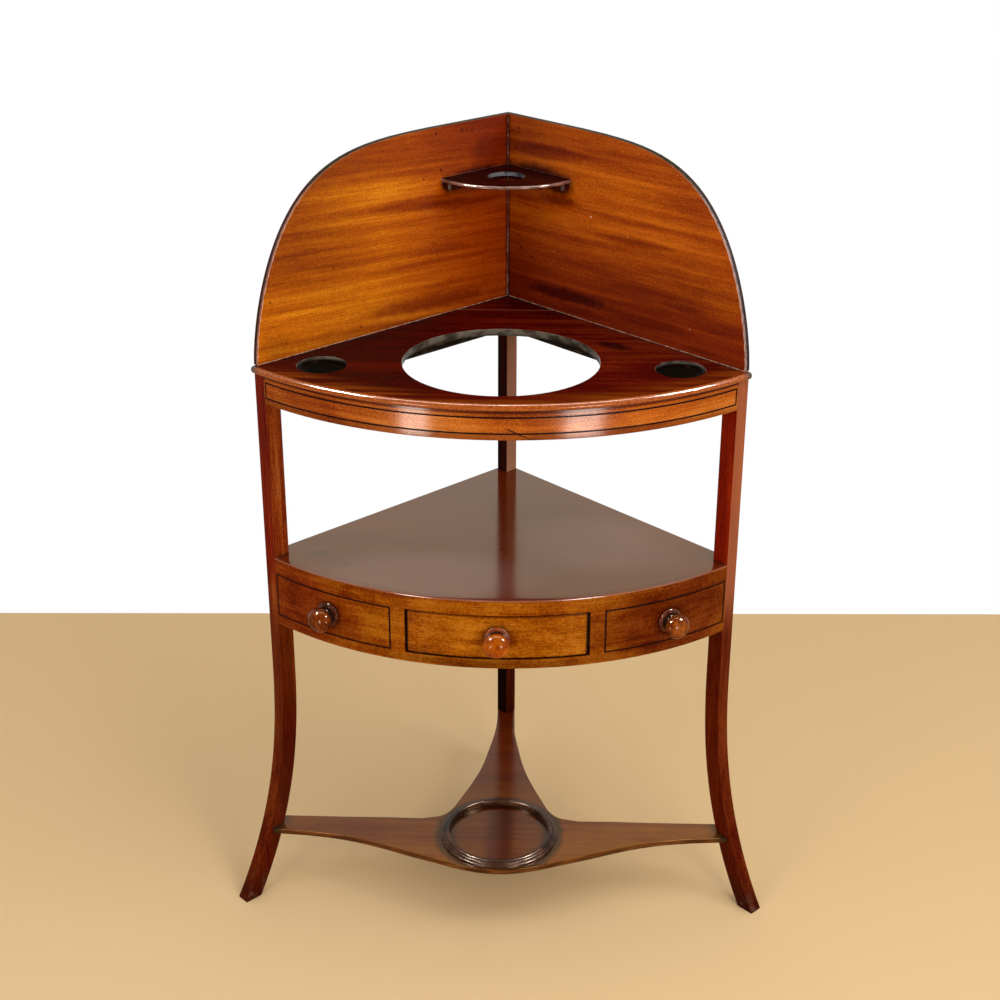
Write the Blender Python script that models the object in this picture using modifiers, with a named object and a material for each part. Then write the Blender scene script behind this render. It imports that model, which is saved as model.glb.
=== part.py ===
"""Bow-front mahogany corner washstand, modelled piece by piece as a joiner would build it.

Metres, +Z up, the bowed front towards -Y. The two walls of the room corner run at 45 degrees
behind the stand. Plan places are measured from the wall corner datum: the point where the inner
faces of the two splashbacks meet. A wall frame has x along a wall, y up and z out towards it.
"""
import math

import bmesh
import bpy
from mathutils import Matrix, Vector

# Overall sizes
SIDE_LENGTH = 0.440
BOARD_TOP_Z = 0.797
SHELF_TOP_Z = 0.5265
STRETCHER_TOP_Z = 0.104
BOW_RADIUS = 0.463

# Fit between pieces, and how far a cutter runs past what it cuts
GAP = 0.0003
OVERRUN = 0.004
MERGE = 0.00001

# Splashbacks
SPLASH_THICKNESS = 0.009
SPLASH_HEIGHT = 0.2617
SHOULDER_ALONG_EXPONENT = 5.6
SHOULDER_HEIGHT_EXPONENT = 1.575
SHOULDER_POINTS = 40
SPLASH_SOFTENING = 0.0009

# Posts and legs
POST_THICKNESS = 0.020
POST_WIDTH = 0.0245
LEG_SWEEP = 0.084
LEG_SWEEP_START_Z = 0.360
LEG_SWEEP_POWER = 2.5
LEG_FOOT_FLARE = 0.0015
LEG_SWEEP_POINTS = 18
LEG_SOFTENING = 0.0009
BACK_POST_SIZE = 0.020

# Top board
BOARD_THICKNESS = 0.0095
BOARD_OVERHANG = 0.0065
BOARD_JOINT_share = 0.149
EAR_RADIUS = 0.005
NOSE_RADIUS = 0.0042
NOSE_SEGMENTS = 3
BASIN_RADIUS_share = 0.2923
BASIN_DEPTH_share = 0.634
BEAKER_RADIUS_share = 0.0736
BEAKER_DEPTH_share = 0.688
BEAKER_REACH_share = 0.523

# Upper apron and the rails behind it
APRON_HEIGHT = 0.0395
APRON_THICKNESS = 0.018
APRON_SOFTENING = 0.0012
RAIL_THICKNESS = 0.014
RAIL_TENON_LENGTH = 0.009
RAIL_TENON_THICKNESS = 0.006
BOW_TENON_LENGTH = 0.010
BOW_TENON_THICKNESS = 0.008
TENON_SHOULDER = 0.005

# Middle shelf and the bowed frieze
SHELF_THICKNESS = 0.008
FRIEZE_HEIGHT = 0.0995
FRIEZE_THICKNESS = 0.020
FRIEZE_LIP = 0.008
FRIEZE_SOFTENING = 0.0016
OPENING_WIDTH_share = 0.548
OPENING_LEDGE = 0.0138
OPENING_HEIGHT = 0.0642

# Black stringing
STRING_WIDTH = 0.0014
STRING_DEPTH = 0.0012
STRING_END_MARGIN = 0.0022
APRON_STRING_DROP = 0.0085
APRON_STRING_HEIGHT = 0.0225
PANEL_STRING_DROP = 0.0225
PANEL_STRING_HEIGHT = 0.0620
PANEL_STRING_INSET = 0.022

# Drawer
DRAWER_SIDE_CLEARANCE = 0.0025
DRAWER_TOP_CLEARANCE = 0.0009
DRAWER_FRONT_END_THICKNESS = 0.0128
DRAWER_SIDE_THICKNESS = 0.007
DRAWER_BACK_CLEARANCE = 0.045
DRAWER_BACK_THICKNESS = 0.007
DRAWER_BOTTOM_THICKNESS = 0.005
DRAWER_BOTTOM_LIFT = 0.0036
DRAWER_GROOVE_DEPTH = 0.003
TAIL_COUNT = 3
TAIL_LENGTH = 0.009
TAIL_FLARE = 0.0022
PIN_WIDTH = 0.0050
DRAWER_EDGE_SOFTENING = 0.0008

# What carries the drawer
RUNNER_WIDTH = 0.020
RUNNER_HEIGHT = 0.012
RUNNER_OUTSET = 0.006
GUIDE_CLEARANCE = 0.0006
KICKER_CLEARANCE = 0.0012
STOP_LENGTH = 0.014
STOP_HEIGHT = 0.010

# Turned knobs: flange, neck and a slightly flattened ball
KNOB_DROP = 0.0315
KNOB_FLANGE_RADIUS = 0.0172
KNOB_FLANGE_DEPTH = 0.0050
KNOB_NECK_RADIUS = 0.0080
KNOB_NECK_DEPTH = 0.0042
KNOB_BALL_RADIUS = 0.0171
KNOB_BALL_DEPTH = 0.0225
KNOB_SPIGOT_RADIUS = 0.0048
KNOB_SPIGOT_LENGTH = 0.0115
KNOB_STEPS = 20
KNOB_FLANGE_shares = (
    (0.62, 1.00),
    (0.80, 0.93),
    (0.86, 0.70),
    (0.95, 0.62),
    (1.00, 0.42),
    (0.99, 0.12),
    (0.95, 0.00),
)

# Stretcher
STRETCHER_THICKNESS = 0.008
ARM_BACK_REACH = 0.022
ARM_FRONT_REACH = 0.0126
BACK_ARM_HALF_WIDTH = 0.0136
PLATFORM_MARGIN = 0.0014
STRETCHER_SOFTENING = 0.0012
BACK_CURVE_shares = (
    (0.043, 0.180),
    (0.072, 0.4075),
    (0.098, 0.560),
    (0.141, 0.714),
    (0.1865, 0.843),
    (0.2285, 0.945),
    (0.275, 0.984),
    (0.490, 0.9985),
)
FRONT_CURVE_shares = (
    (0.942, 0.017),
    (0.825, 0.057),
    (0.675, 0.155),
    (0.506, 0.367),
    (0.396, 0.545),
    (0.275, 0.723),
    (0.127, 0.929),
)

# Turned ring that keeps the ewer in place
RING_DEPTH_share = 0.7795
RING_RADIUS_share = 0.1882
RING_WIDTH = 0.0122
RING_HEIGHT = 0.0088
RING_STEPS = 48
RING_PROFILE_shares = (
    (0.00, 0.70),
    (0.10, 0.93),
    (0.30, 1.00),
    (0.50, 0.92),
    (0.60, 0.70),
    (0.64, 0.42),
    (0.93, 0.34),
    (1.00, 0.22),
    (1.00, 0.00),
    (0.00, 0.00),
)

# Soap shelf in the corner of the splashbacks, and the bearers it lies on
SOAP_TOP_RISE = 0.1917
SOAP_RADIUS = 0.1115
SOAP_CENTRE_DEPTH = 0.0195
SOAP_THICKNESS = 0.0055
SOAP_HOLE_RADIUS = 0.0255
SOAP_HOLE_DEPTH = 0.0725
SOAP_HOUSING = 0.003
SOAP_STEPS = 64
SOAP_NOSE = 0.0022
SOAP_PROFILE_shares = (
    (1.00, 0.00),
    (0.50, 0.07),
    (0.13, 0.25),
    (0.00, 0.50),
    (0.13, 0.75),
    (0.50, 0.93),
    (1.00, 1.00),
)
BEARER_HEIGHT = 0.0095
BEARER_WIDTH = 0.0125
BEARER_INSET = 0.0035
BEARER_ROUNDING = 0.0045
BEARER_SOFTENING = 0.0008

# Facets
BOW_FACET = 0.018
BASIN_FACETS = 72
BEAKER_FACETS = 28
SOAP_HOLE_FACETS = 28
SPIGOT_FACETS = 12
CORNER_STEPS = 4
PLATFORM_CURVE_STEPS = 3

# Derived sizes
HALF_TURN = math.pi
DIAGONAL = math.sin(HALF_TURN / 4)
ROUND_PROFILE = 1 / 2
FLAT_ANGLE = math.radians(0.05)
BOARD_JOINT_DEPTH = SIDE_LENGTH * BOARD_JOINT_share
BASIN_HOLE_RADIUS = SIDE_LENGTH * BASIN_RADIUS_share
BASIN_HOLE_DEPTH = SIDE_LENGTH * BASIN_DEPTH_share
BEAKER_HOLE_RADIUS = SIDE_LENGTH * BEAKER_RADIUS_share
BEAKER_HOLE_DEPTH = SIDE_LENGTH * BEAKER_DEPTH_share
BEAKER_HOLE_REACH = SIDE_LENGTH * BEAKER_REACH_share
OPENING_HALF_WIDTH = SIDE_LENGTH * OPENING_WIDTH_share / 2
RING_CENTRE_DEPTH = SIDE_LENGTH * RING_DEPTH_share
RING_OUTER_RADIUS = SIDE_LENGTH * RING_RADIUS_share
RING_INNER_RADIUS = RING_OUTER_RADIUS - RING_WIDTH
POST_INNER_OFFSET = SPLASH_THICKNESS - POST_THICKNESS
RAIL_INNER_OFFSET = SPLASH_THICKNESS - RAIL_THICKNESS
BOARD_UNDERSIDE_Z = BOARD_TOP_Z - BOARD_THICKNESS
APRON_TOP_Z = BOARD_UNDERSIDE_Z - GAP
APRON_BOTTOM_Z = BOARD_UNDERSIDE_Z - APRON_HEIGHT
SHELF_UNDERSIDE_Z = SHELF_TOP_Z - SHELF_THICKNESS
FRIEZE_BOTTOM_Z = SHELF_TOP_Z - FRIEZE_HEIGHT
OPENING_BOTTOM_Z = FRIEZE_BOTTOM_Z + OPENING_LEDGE
OPENING_TOP_Z = OPENING_BOTTOM_Z + OPENING_HEIGHT
KNOB_Z = SHELF_TOP_Z - PANEL_STRING_DROP - KNOB_DROP
PANEL_STRING_START = OPENING_HALF_WIDTH + PANEL_STRING_INSET
DRAWER_HALF_WIDTH = OPENING_HALF_WIDTH - DRAWER_SIDE_CLEARANCE
DRAWER_FRONT_BOTTOM_Z = OPENING_BOTTOM_Z + DRAWER_TOP_CLEARANCE
DRAWER_FRONT_TOP_Z = OPENING_TOP_Z - DRAWER_TOP_CLEARANCE
DRAWER_SIDE_BOTTOM_Z = OPENING_BOTTOM_Z + GAP
DRAWER_SIDE_TOP_Z = DRAWER_FRONT_TOP_Z - GAP
DRAWER_BOTTOM_LOW_Z = OPENING_BOTTOM_Z + DRAWER_BOTTOM_LIFT
DRAWER_BOTTOM_HIGH_Z = DRAWER_BOTTOM_LOW_Z + DRAWER_BOTTOM_THICKNESS
STRETCHER_LOW_Z = STRETCHER_TOP_Z - STRETCHER_THICKNESS
SOAP_TOP_Z = BOARD_TOP_Z + SOAP_TOP_RISE
KNOB_PROJECTION = GAP + KNOB_FLANGE_DEPTH + KNOB_NECK_DEPTH + KNOB_BALL_DEPTH

# Colours as red, green, blue, with a roughness
SPLASH_FINISH = ((0.36, 0.13, 0.035), 0.38)
TOP_FINISH = ((0.20, 0.055, 0.022), 0.34)
FRONT_FINISH = ((0.33, 0.115, 0.03), 0.36)
FRAME_FINISH = ((0.17, 0.042, 0.018), 0.36)
SHELF_FINISH = ((0.21, 0.075, 0.038), 0.28)
KNOB_FINISH = ((0.33, 0.08, 0.018), 0.22)
LINING_FINISH = ((0.42, 0.27, 0.13), 0.65)
STRING_FINISH = ((0.012, 0.009, 0.008), 0.40)


def wall_point(side, along, offset):
    """Plan point, from the wall corner datum, at a distance along a wall and out towards it."""
    return side * DIAGONAL * (along + offset), DIAGONAL * (offset - along)


def bow_centre_depth():
    """How far behind the datum's level the centre of the bow lies: the bow meets the posts' corners."""
    x, y = wall_point(1, SIDE_LENGTH, POST_INNER_OFFSET)
    return y + math.sqrt(BOW_RADIUS**2 - x**2)


BOW_CENTRE = bow_centre_depth()
FRONT_REACH = BOW_RADIUS + KNOB_PROJECTION - BOW_CENTRE
BACK_REACH = SPLASH_THICKNESS / DIAGONAL
CORNER_Y = (FRONT_REACH - BACK_REACH) / 2


def bow_angle_at(radius, offset):
    """Angle, about the bow's centre, where a circle of this radius meets a plane parallel to a wall."""
    k = offset / DIAGONAL - BOW_CENTRE
    x = (k + math.sqrt(2 * radius**2 - k**2)) / 2
    return math.asin(x / radius)


def bow_point(radius, angle):
    return radius * math.sin(angle), BOW_CENTRE - radius * math.cos(angle)


def bow_steps(length):
    """Number of facets for a length along the bow."""
    return max(math.ceil(length / BOW_FACET), 2)


def bow_arc(radius, start, end):
    steps = bow_steps(abs(end - start) * BOW_RADIUS)
    step = (end - start) / steps
    return [bow_point(radius, start + step * i) for i in range(steps + 1)]


def bow_y(radius, x):
    return BOW_CENTRE - math.sqrt(radius**2 - x**2)


def frame_of(x_axis, y_axis, z_axis, origin):
    return Matrix.Translation(origin) @ Matrix((x_axis, y_axis, z_axis)).transposed().to_4x4()


def wall_frame(side):
    along = (side * DIAGONAL, -DIAGONAL, 0)
    outward = (side * DIAGONAL, DIAGONAL, 0)
    return frame_of(along, (0, 0, 1), outward, (0, CORNER_Y, 0))


def bow_frame(angle, z):
    """Frame on the bow's surface, with z out along its normal."""
    x, y = bow_point(BOW_RADIUS, angle)
    right = (math.cos(angle), math.sin(angle), 0)
    normal = (math.sin(angle), -math.cos(angle), 0)
    return frame_of(right, (0, 0, 1), normal, (x, CORNER_Y + y, z))


PLAN = Matrix.Translation((0, CORNER_Y, 0))
PROFILE = frame_of((0, 1, 0), (0, 0, 1), (1, 0, 0), (0, CORNER_Y, 0))


def material(name, finish):
    colour, roughness = finish
    made = bpy.data.materials.new(name)
    made.use_nodes = True
    shader = made.node_tree.nodes["Principled BSDF"]
    shader.inputs["Base Color"].default_value = (*colour, 1)
    shader.inputs["Roughness"].default_value = roughness
    shader.inputs["Metallic"].default_value = 0
    made.diffuse_color = (*colour, 1)
    return made


def as_part(obj, finish_material):
    obj.data.materials.clear()
    obj.data.materials.append(finish_material)
    obj.data.shade_smooth()
    obj.data.set_sharp_from_angle(angle=math.radians(30))
    PARTS.objects.link(obj)
    return obj


def as_cutter(obj):
    obj.hide_render = True
    obj.display_type = "WIRE"
    CUTTERS.objects.link(obj)
    return obj


def placed_mesh(mesh, frame):
    mesh.transform(frame)
    if frame.determinant() < 0:
        mesh.flip_normals()
    return mesh


def face_outwards(shape):
    """Turns all faces of a closed form outwards, thin and bent forms too."""
    bmesh.ops.recalc_face_normals(shape, faces=shape.faces)
    if shape.calc_volume(signed=True) < 0:
        bmesh.ops.reverse_faces(shape, faces=shape.faces)


def clean_caps(shape):
    """Makes each flat cap one face, so that its edges can be rounded cleanly."""
    bmesh.ops.remove_doubles(shape, verts=shape.verts, dist=MERGE)
    bmesh.ops.dissolve_limit(shape, angle_limit=FLAT_ANGLE, verts=shape.verts, edges=shape.edges)
    face_outwards(shape)


def outline_mesh(name, outlines, low, high, corners=None):
    """Closed plate between two levels from flat outlines, smooth curves where corners are given."""
    curve = bpy.data.curves.new(name, "CURVE")
    curve.dimensions = "2D"
    curve.fill_mode = "BOTH"
    curve.extrude = (high - low) / 2
    for outline in outlines:
        if corners is None:
            spline = curve.splines.new("POLY")
            spline.points.add(len(outline) - 1)
            for point, (x, y) in zip(spline.points, outline):
                point.co = (x, y, 0, 1)
        else:
            spline = curve.splines.new("BEZIER")
            spline.resolution_u = PLATFORM_CURVE_STEPS
            spline.bezier_points.add(len(outline) - 1)
            for i, (point, (x, y)) in enumerate(zip(spline.bezier_points, outline)):
                point.co = (x, y, 0)
                handle = "VECTOR" if i in corners else "AUTO"
                point.handle_left_type = handle
                point.handle_right_type = handle
        spline.use_cyclic_u = True
    carrier = bpy.data.objects.new(name, curve)
    bpy.context.scene.collection.objects.link(carrier)
    bpy.context.view_layer.update()
    evaluated = carrier.evaluated_get(bpy.context.evaluated_depsgraph_get())
    mesh = bpy.data.meshes.new_from_object(evaluated)
    bpy.data.objects.remove(carrier)
    bpy.data.curves.remove(curve)
    mesh.transform(Matrix.Translation((0, 0, (low + high) / 2)))
    shape = bmesh.new()
    shape.from_mesh(mesh)
    clean_caps(shape)
    shape.to_mesh(mesh)
    shape.free()
    mesh.name = name
    return mesh


def plate(name, outline, low, high, frame=PLAN, corners=None):
    mesh = outline_mesh(name, [outline], low, high, corners)
    return bpy.data.objects.new(name, placed_mesh(mesh, frame))


def block(name, low, high, frame=PLAN):
    """Rectangular block between two corners in a frame."""
    shape = bmesh.new()
    bmesh.ops.create_cube(shape, size=1)
    size = [b - a for a, b in zip(low, high)]
    middle = [(a + b) / 2 for a, b in zip(low, high)]
    mesh = bpy.data.meshes.new(name)
    bmesh.ops.transform(
        shape, matrix=Matrix.Translation(middle) @ Matrix.Diagonal((*size, 1)), verts=shape.verts
    )
    shape.to_mesh(mesh)
    shape.free()
    return bpy.data.objects.new(name, placed_mesh(mesh, frame))


def cylinder(name, radius, low, high, facets, frame):
    shape = bmesh.new()
    bmesh.ops.create_cone(
        shape, cap_ends=True, segments=facets, radius1=radius, radius2=radius, depth=high - low
    )
    bmesh.ops.translate(shape, verts=shape.verts, vec=(0, 0, (low + high) / 2))
    mesh = bpy.data.meshes.new(name)
    shape.to_mesh(mesh)
    shape.free()
    return bpy.data.objects.new(name, placed_mesh(mesh, frame))


def turned(name, profile, steps, frame, closed=False):
    """Turned form from (radius, height) points that run down its outer side."""
    mesh = bpy.data.meshes.new(name)
    edges = [(i, i + 1) for i in range(len(profile) - 1)]
    if closed:
        edges.append((len(profile) - 1, 0))
    mesh.from_pydata([(radius, 0, height) for radius, height in profile], edges, [])
    obj = bpy.data.objects.new(name, mesh)
    obj.matrix_world = frame
    screw = obj.modifiers.new("Turning", "SCREW")
    screw.steps = steps
    screw.render_steps = steps
    screw.use_merge_vertices = True
    screw.merge_threshold = MERGE
    screw.use_smooth_shade = True
    return obj


def combine(obj, other, operation):
    modifier = obj.modifiers.new(other.name, "BOOLEAN")
    modifier.operation = operation
    modifier.solver = "EXACT"
    modifier.object = other
    return obj


def cut(obj, *cutters):
    for cutter in cutters:
        combine(obj, as_cutter(cutter), "DIFFERENCE")
    return obj


def join(obj, *additions):
    for addition in additions:
        combine(obj, as_cutter(addition), "UNION")
    return obj


def soften(obj, width, segments=2):
    bevel = obj.modifiers.new("Softened arrises", "BEVEL")
    bevel.width = width
    bevel.segments = segments
    bevel.limit_method = "ANGLE"
    bevel.angle_limit = math.radians(35)
    return obj


def round_edges(obj, chosen, width, segments):
    """Rounds the edges whose middle point and direction the test chooses."""
    shape = bmesh.new()
    shape.from_mesh(obj.data)
    edges = []
    for edge in shape.edges:
        first, second = (vertex.co for vertex in edge.verts)
        if chosen((first + second) / 2, (second - first).normalized()):
            edges.append(edge)
    bmesh.ops.bevel(
        shape, geom=edges, offset=width, segments=segments, profile=ROUND_PROFILE, affect="EDGES"
    )
    shape.to_mesh(obj.data)
    shape.free()
    return obj


def is_level(direction):
    return abs(direction.z) < math.sin(math.radians(1))


def bow_distance(point):
    """Plan distance of a world point from the bow's centre."""
    return math.hypot(point.x, point.y - CORNER_Y - BOW_CENTRE)


def fillet(before, corner, after, radius):
    """Points of a round corner in a flat outline."""
    corner = Vector(corner)
    first = (Vector(before) - corner).normalized()
    second = (Vector(after) - corner).normalized()
    half_angle = first.angle(second) / 2
    run = radius / math.tan(half_angle)
    centre = corner + (first + second).normalized() * radius / math.sin(half_angle)
    start = corner + first * run - centre
    turn = start.angle_signed(corner + second * run - centre)
    points = []
    for i in range(CORNER_STEPS + 1):
        share = turn * i / CORNER_STEPS
        points.append(tuple(centre + Matrix.Rotation(-share, 2) @ start))
    return points


def band_outline(outer, inner, outer_angle, inner_angle):
    """Plan outline of a bowed rail between two radii, ended on planes at both sides."""
    return bow_arc(outer, -outer_angle, outer_angle) + bow_arc(inner, inner_angle, -inner_angle)


def bent_frame(name, start, end, low, high, width, inward, outward, growth):
    """Rectangular line frame bent on to the bow, from start to end along its surface."""
    inset = width + growth
    steps = bow_steps(end - start - 2 * inset)
    run = (end - start - 2 * inset) / steps
    columns = [start - growth]
    columns += [start + inset + run * i for i in range(steps + 1)]
    columns.append(end + growth)
    rows = [low - growth, low + inset, high - inset, high + growth]
    layers = (BOW_RADIUS - inward, BOW_RADIUS + outward)
    filled = set()
    for i in range(len(columns) - 1):
        for j in range(len(rows) - 1):
            if i in (0, len(columns) - 2) or j in (0, len(rows) - 2):
                filled.add((i, j))
    shape = bmesh.new()
    corners = {}

    def corner(i, j, layer):
        key = (i, j, layer)
        if key not in corners:
            x, y = bow_point(layers[layer], columns[i] / BOW_RADIUS)
            corners[key] = shape.verts.new((x, CORNER_Y + y, rows[j]))
        return corners[key]

    for i, j in sorted(filled):
        around = [(i, j), (i + 1, j), (i + 1, j + 1), (i, j + 1)]
        beside = [(i, j - 1), (i + 1, j), (i, j + 1), (i - 1, j)]
        shape.faces.new([corner(*place, 1) for place in around])
        shape.faces.new([corner(*place, 0) for place in reversed(around)])
        for k, neighbour in enumerate(beside):
            if neighbour not in filled:
                first, second = around[k], around[(k + 1) % len(around)]
                shape.faces.new(
                    [corner(*second, 1), corner(*first, 1), corner(*first, 0), corner(*second, 0)]
                )
    face_outwards(shape)
    mesh = bpy.data.meshes.new(name)
    shape.to_mesh(mesh)
    shape.free()
    return bpy.data.objects.new(name, mesh)


def stringing(name, carrier, start, end, low, high):
    """A black line frame let into the front of its carrier."""
    place = (start, end, low, high, STRING_WIDTH)
    cut(carrier, bent_frame(name + "_groove", *place, STRING_DEPTH + GAP, OVERRUN, GAP))
    as_part(bent_frame(name, *place, STRING_DEPTH, 0, 0), STRING)


def string_reach():
    """Length along the bow, from its middle, at which the stringing stops short of the posts."""
    return BOW_RADIUS * bow_angle_at(BOW_RADIUS, POST_INNER_OFFSET - GAP) - STRING_END_MARGIN


def leg_sweep(z):
    """How far the leg has swept out along the wall at a height, as a share of the whole sweep."""
    return (1 - min(z / LEG_SWEEP_START_Z, 1)) ** LEG_SWEEP_POWER


def leg_outline(growth=0, low=0, high=None):
    """Side view of a front leg in its wall frame: a straight post that sweeps out to the foot."""
    top = APRON_TOP_Z if high is None else high
    step = (LEG_SWEEP_START_Z - low) / LEG_SWEEP_POINTS
    heights = [low + step * i for i in range(LEG_SWEEP_POINTS + 1)] + [top]
    front = [(SIDE_LENGTH + LEG_SWEEP * leg_sweep(z) + growth, z) for z in heights]
    back = [
        (SIDE_LENGTH - POST_WIDTH + (LEG_SWEEP - LEG_FOOT_FLARE) * leg_sweep(z) - growth, z)
        for z in heights
    ]
    return front + back[::-1]


def leg_form(name, side, growth=0):
    low = POST_INNER_OFFSET - growth
    high = SPLASH_THICKNESS + growth
    return plate(name, leg_outline(growth), low, high, wall_frame(side))


def back_post_form(name, low, high, growth=0):
    """Square corner post whose outer faces lie in the planes of the splashbacks' backs."""
    inner = SPLASH_THICKNESS - BACK_POST_SIZE - growth
    outer = SPLASH_THICKNESS + growth
    return block(name, (-outer, low, inner), (-inner, high, outer), wall_frame(-1))


def bow_tenon(name, side, thickness, low, high, growth=0):
    """Tenon on the end of a bowed rail, in the middle of its thickness."""
    middle = SIDE_LENGTH - thickness / 2
    half = BOW_TENON_THICKNESS / 2 + growth
    near = (middle - half, low + TENON_SHOULDER - growth, POST_INNER_OFFSET - OVERRUN)
    far = (middle + half, high - TENON_SHOULDER + growth, POST_INNER_OFFSET + BOW_TENON_LENGTH + growth)
    return block(name, near, far, wall_frame(side))


def rail_tenon(name, side, face, direction, low, high, growth=0):
    """Tenon on the end of a straight rail, entering a post's face in the given direction."""
    middle = (RAIL_INNER_OFFSET + SPLASH_THICKNESS) / 2
    half = RAIL_TENON_THICKNESS / 2 + growth
    ends = sorted((face - direction * OVERRUN, face + direction * (RAIL_TENON_LENGTH + growth)))
    near = (ends[0], low + TENON_SHOULDER - growth, middle - half)
    far = (ends[1], high - TENON_SHOULDER + growth, middle + half)
    return block(name, near, far, wall_frame(side))


def side_name(side):
    return "left" if side < 0 else "right"


def make_back_rail(level, side, low, high, front_leg, back_leg):
    """Straight rail along a wall, tenoned into the front leg and the corner post."""
    name = f"{level}_back_rail_{side_name(side)}"
    back_face = BACK_POST_SIZE - SPLASH_THICKNESS
    front_face = SIDE_LENGTH - POST_WIDTH
    rail = block(
        name,
        (back_face + GAP, low, RAIL_INNER_OFFSET),
        (front_face - GAP, high, SPLASH_THICKNESS),
        wall_frame(side),
    )
    for end, face, direction, post in (
        ("front", front_face, 1, front_leg),
        ("back", back_face, -1, back_leg),
    ):
        join(rail, rail_tenon(f"{name}_{end}_tenon", side, face, direction, low, high))
        cut(post, rail_tenon(f"{name}_{end}_mortise", side, face, direction, low, high, GAP))
    return as_part(rail, FRAME)


def make_legs():
    legs = {}
    for side in (-1, 1):
        leg = leg_form(f"front_leg_{side_name(side)}", side)
        legs[side] = as_part(soften(leg, LEG_SOFTENING), FRAME)
    back = back_post_form("back_leg", 0, APRON_TOP_Z)
    legs[0] = as_part(soften(back, LEG_SOFTENING), FRAME)
    return legs


def make_bowed_rail(name, thickness, low, high, softening, finish, legs):
    """Bowed front rail, flush with the posts' front corners and tenoned into their inner faces."""
    inner = BOW_RADIUS - thickness
    end = POST_INNER_OFFSET - GAP
    outline = band_outline(BOW_RADIUS, inner, bow_angle_at(BOW_RADIUS, end), bow_angle_at(inner, end))
    rail = plate(name, outline, low, high)

    def front_arris(middle, direction):
        return is_level(direction) and bow_distance(middle) > BOW_RADIUS - GAP

    round_edges(rail, front_arris, softening, 2)
    for side in (-1, 1):
        end_name = f"{name}_{side_name(side)}"
        join(rail, bow_tenon(end_name + "_tenon", side, thickness, low, high))
        cut(legs[side], bow_tenon(end_name + "_mortise", side, thickness, low, high, GAP))
    return as_part(rail, finish)


def make_upper_apron(legs):
    apron = make_bowed_rail(
        "upper_apron", APRON_THICKNESS, APRON_BOTTOM_Z, APRON_TOP_Z, APRON_SOFTENING, FRONT, legs
    )
    reach = string_reach()
    high = APRON_TOP_Z - APRON_STRING_DROP
    stringing("apron_stringing", apron, -reach, reach, high - APRON_STRING_HEIGHT, high)


def make_frieze(legs):
    """Bowed front under the middle shelf: a rebate for the shelf, and an opening for the drawer."""
    frieze = make_bowed_rail(
        "frieze_front", FRIEZE_THICKNESS, FRIEZE_BOTTOM_Z, SHELF_TOP_Z, FRIEZE_SOFTENING, FRONT, legs
    )
    inner = BOW_RADIUS - FRIEZE_THICKNESS - OVERRUN
    lip = BOW_RADIUS - FRIEZE_LIP
    past = POST_INNER_OFFSET + OVERRUN
    rebate = band_outline(lip, inner, bow_angle_at(lip, past), bow_angle_at(inner, past))
    cut(frieze, plate("shelf_rebate", rebate, SHELF_UNDERSIDE_Z - GAP, SHELF_TOP_Z + OVERRUN))
    opening_back = bow_y(BOW_RADIUS - FRIEZE_THICKNESS, OPENING_HALF_WIDTH) + OVERRUN
    opening_front = bow_y(BOW_RADIUS, 0) - OVERRUN
    opening = block(
        "drawer_opening",
        (-OPENING_HALF_WIDTH, opening_front, OPENING_BOTTOM_Z),
        (OPENING_HALF_WIDTH, opening_back, OPENING_TOP_Z),
    )
    cut(frieze, opening)
    reach = string_reach()
    high = SHELF_TOP_Z - PANEL_STRING_DROP
    low = high - PANEL_STRING_HEIGHT
    stringing("frieze_stringing_left", frieze, -reach, -PANEL_STRING_START, low, high)
    stringing("frieze_stringing_right", frieze, PANEL_STRING_START, reach, low, high)
    return frieze


def wedge_outline(offset, reach):
    """Plan triangle between two planes parallel to the walls, from the corner out to a reach."""
    tip = offset / DIAGONAL
    return [(0, tip), (-reach, tip - reach), (reach, tip - reach)]


def make_top_board():
    """Bow-front top with a rounded nose; a small triangular board fills the corner behind it."""
    radius = BOW_RADIUS + BOARD_OVERHANG
    ear = bow_angle_at(radius, SPLASH_THICKNESS)
    arc = bow_arc(radius, -ear, ear)
    joint_reach = BOARD_JOINT_DEPTH + SPLASH_THICKNESS / DIAGONAL
    left_back = (-joint_reach, -BOARD_JOINT_DEPTH)
    right_back = (joint_reach, -BOARD_JOINT_DEPTH)
    outline = (
        [left_back]
        + fillet(left_back, arc[0], arc[1], EAR_RADIUS)
        + arc[1:-1]
        + fillet(arc[-2], arc[-1], right_back, EAR_RADIUS)
        + [right_back]
    )
    board = plate("top_board", outline, BOARD_UNDERSIDE_Z, BOARD_TOP_Z)

    def front_edge(middle, direction):
        inside = abs(middle.x) + middle.y - CORNER_Y < SPLASH_THICKNESS / DIAGONAL - MERGE
        return is_level(direction) and inside and bow_distance(middle) > BOW_RADIUS - POST_WIDTH

    round_edges(board, front_edge, NOSE_RADIUS, NOSE_SEGMENTS)
    low = BOARD_UNDERSIDE_Z - OVERRUN
    high = BOARD_TOP_Z + OVERRUN
    basin = PLAN @ Matrix.Translation((0, -BASIN_HOLE_DEPTH, 0))
    cut(board, cylinder("basin_hole", BASIN_HOLE_RADIUS, low, high, BASIN_FACETS, basin))
    for side in (-1, 1):
        beaker = PLAN @ Matrix.Translation((side * BEAKER_HOLE_REACH, -BEAKER_HOLE_DEPTH, 0))
        hole_name = "beaker_hole_" + side_name(side)
        cut(board, cylinder(hole_name, BEAKER_HOLE_RADIUS, low, high, BEAKER_FACETS, beaker))
    as_part(board, TOP)
    reach = joint_reach - GAP
    rear = plate("top_board_rear", wedge_outline(SPLASH_THICKNESS, reach), BOARD_UNDERSIDE_Z, BOARD_TOP_Z)
    as_part(rear, TOP)


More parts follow.
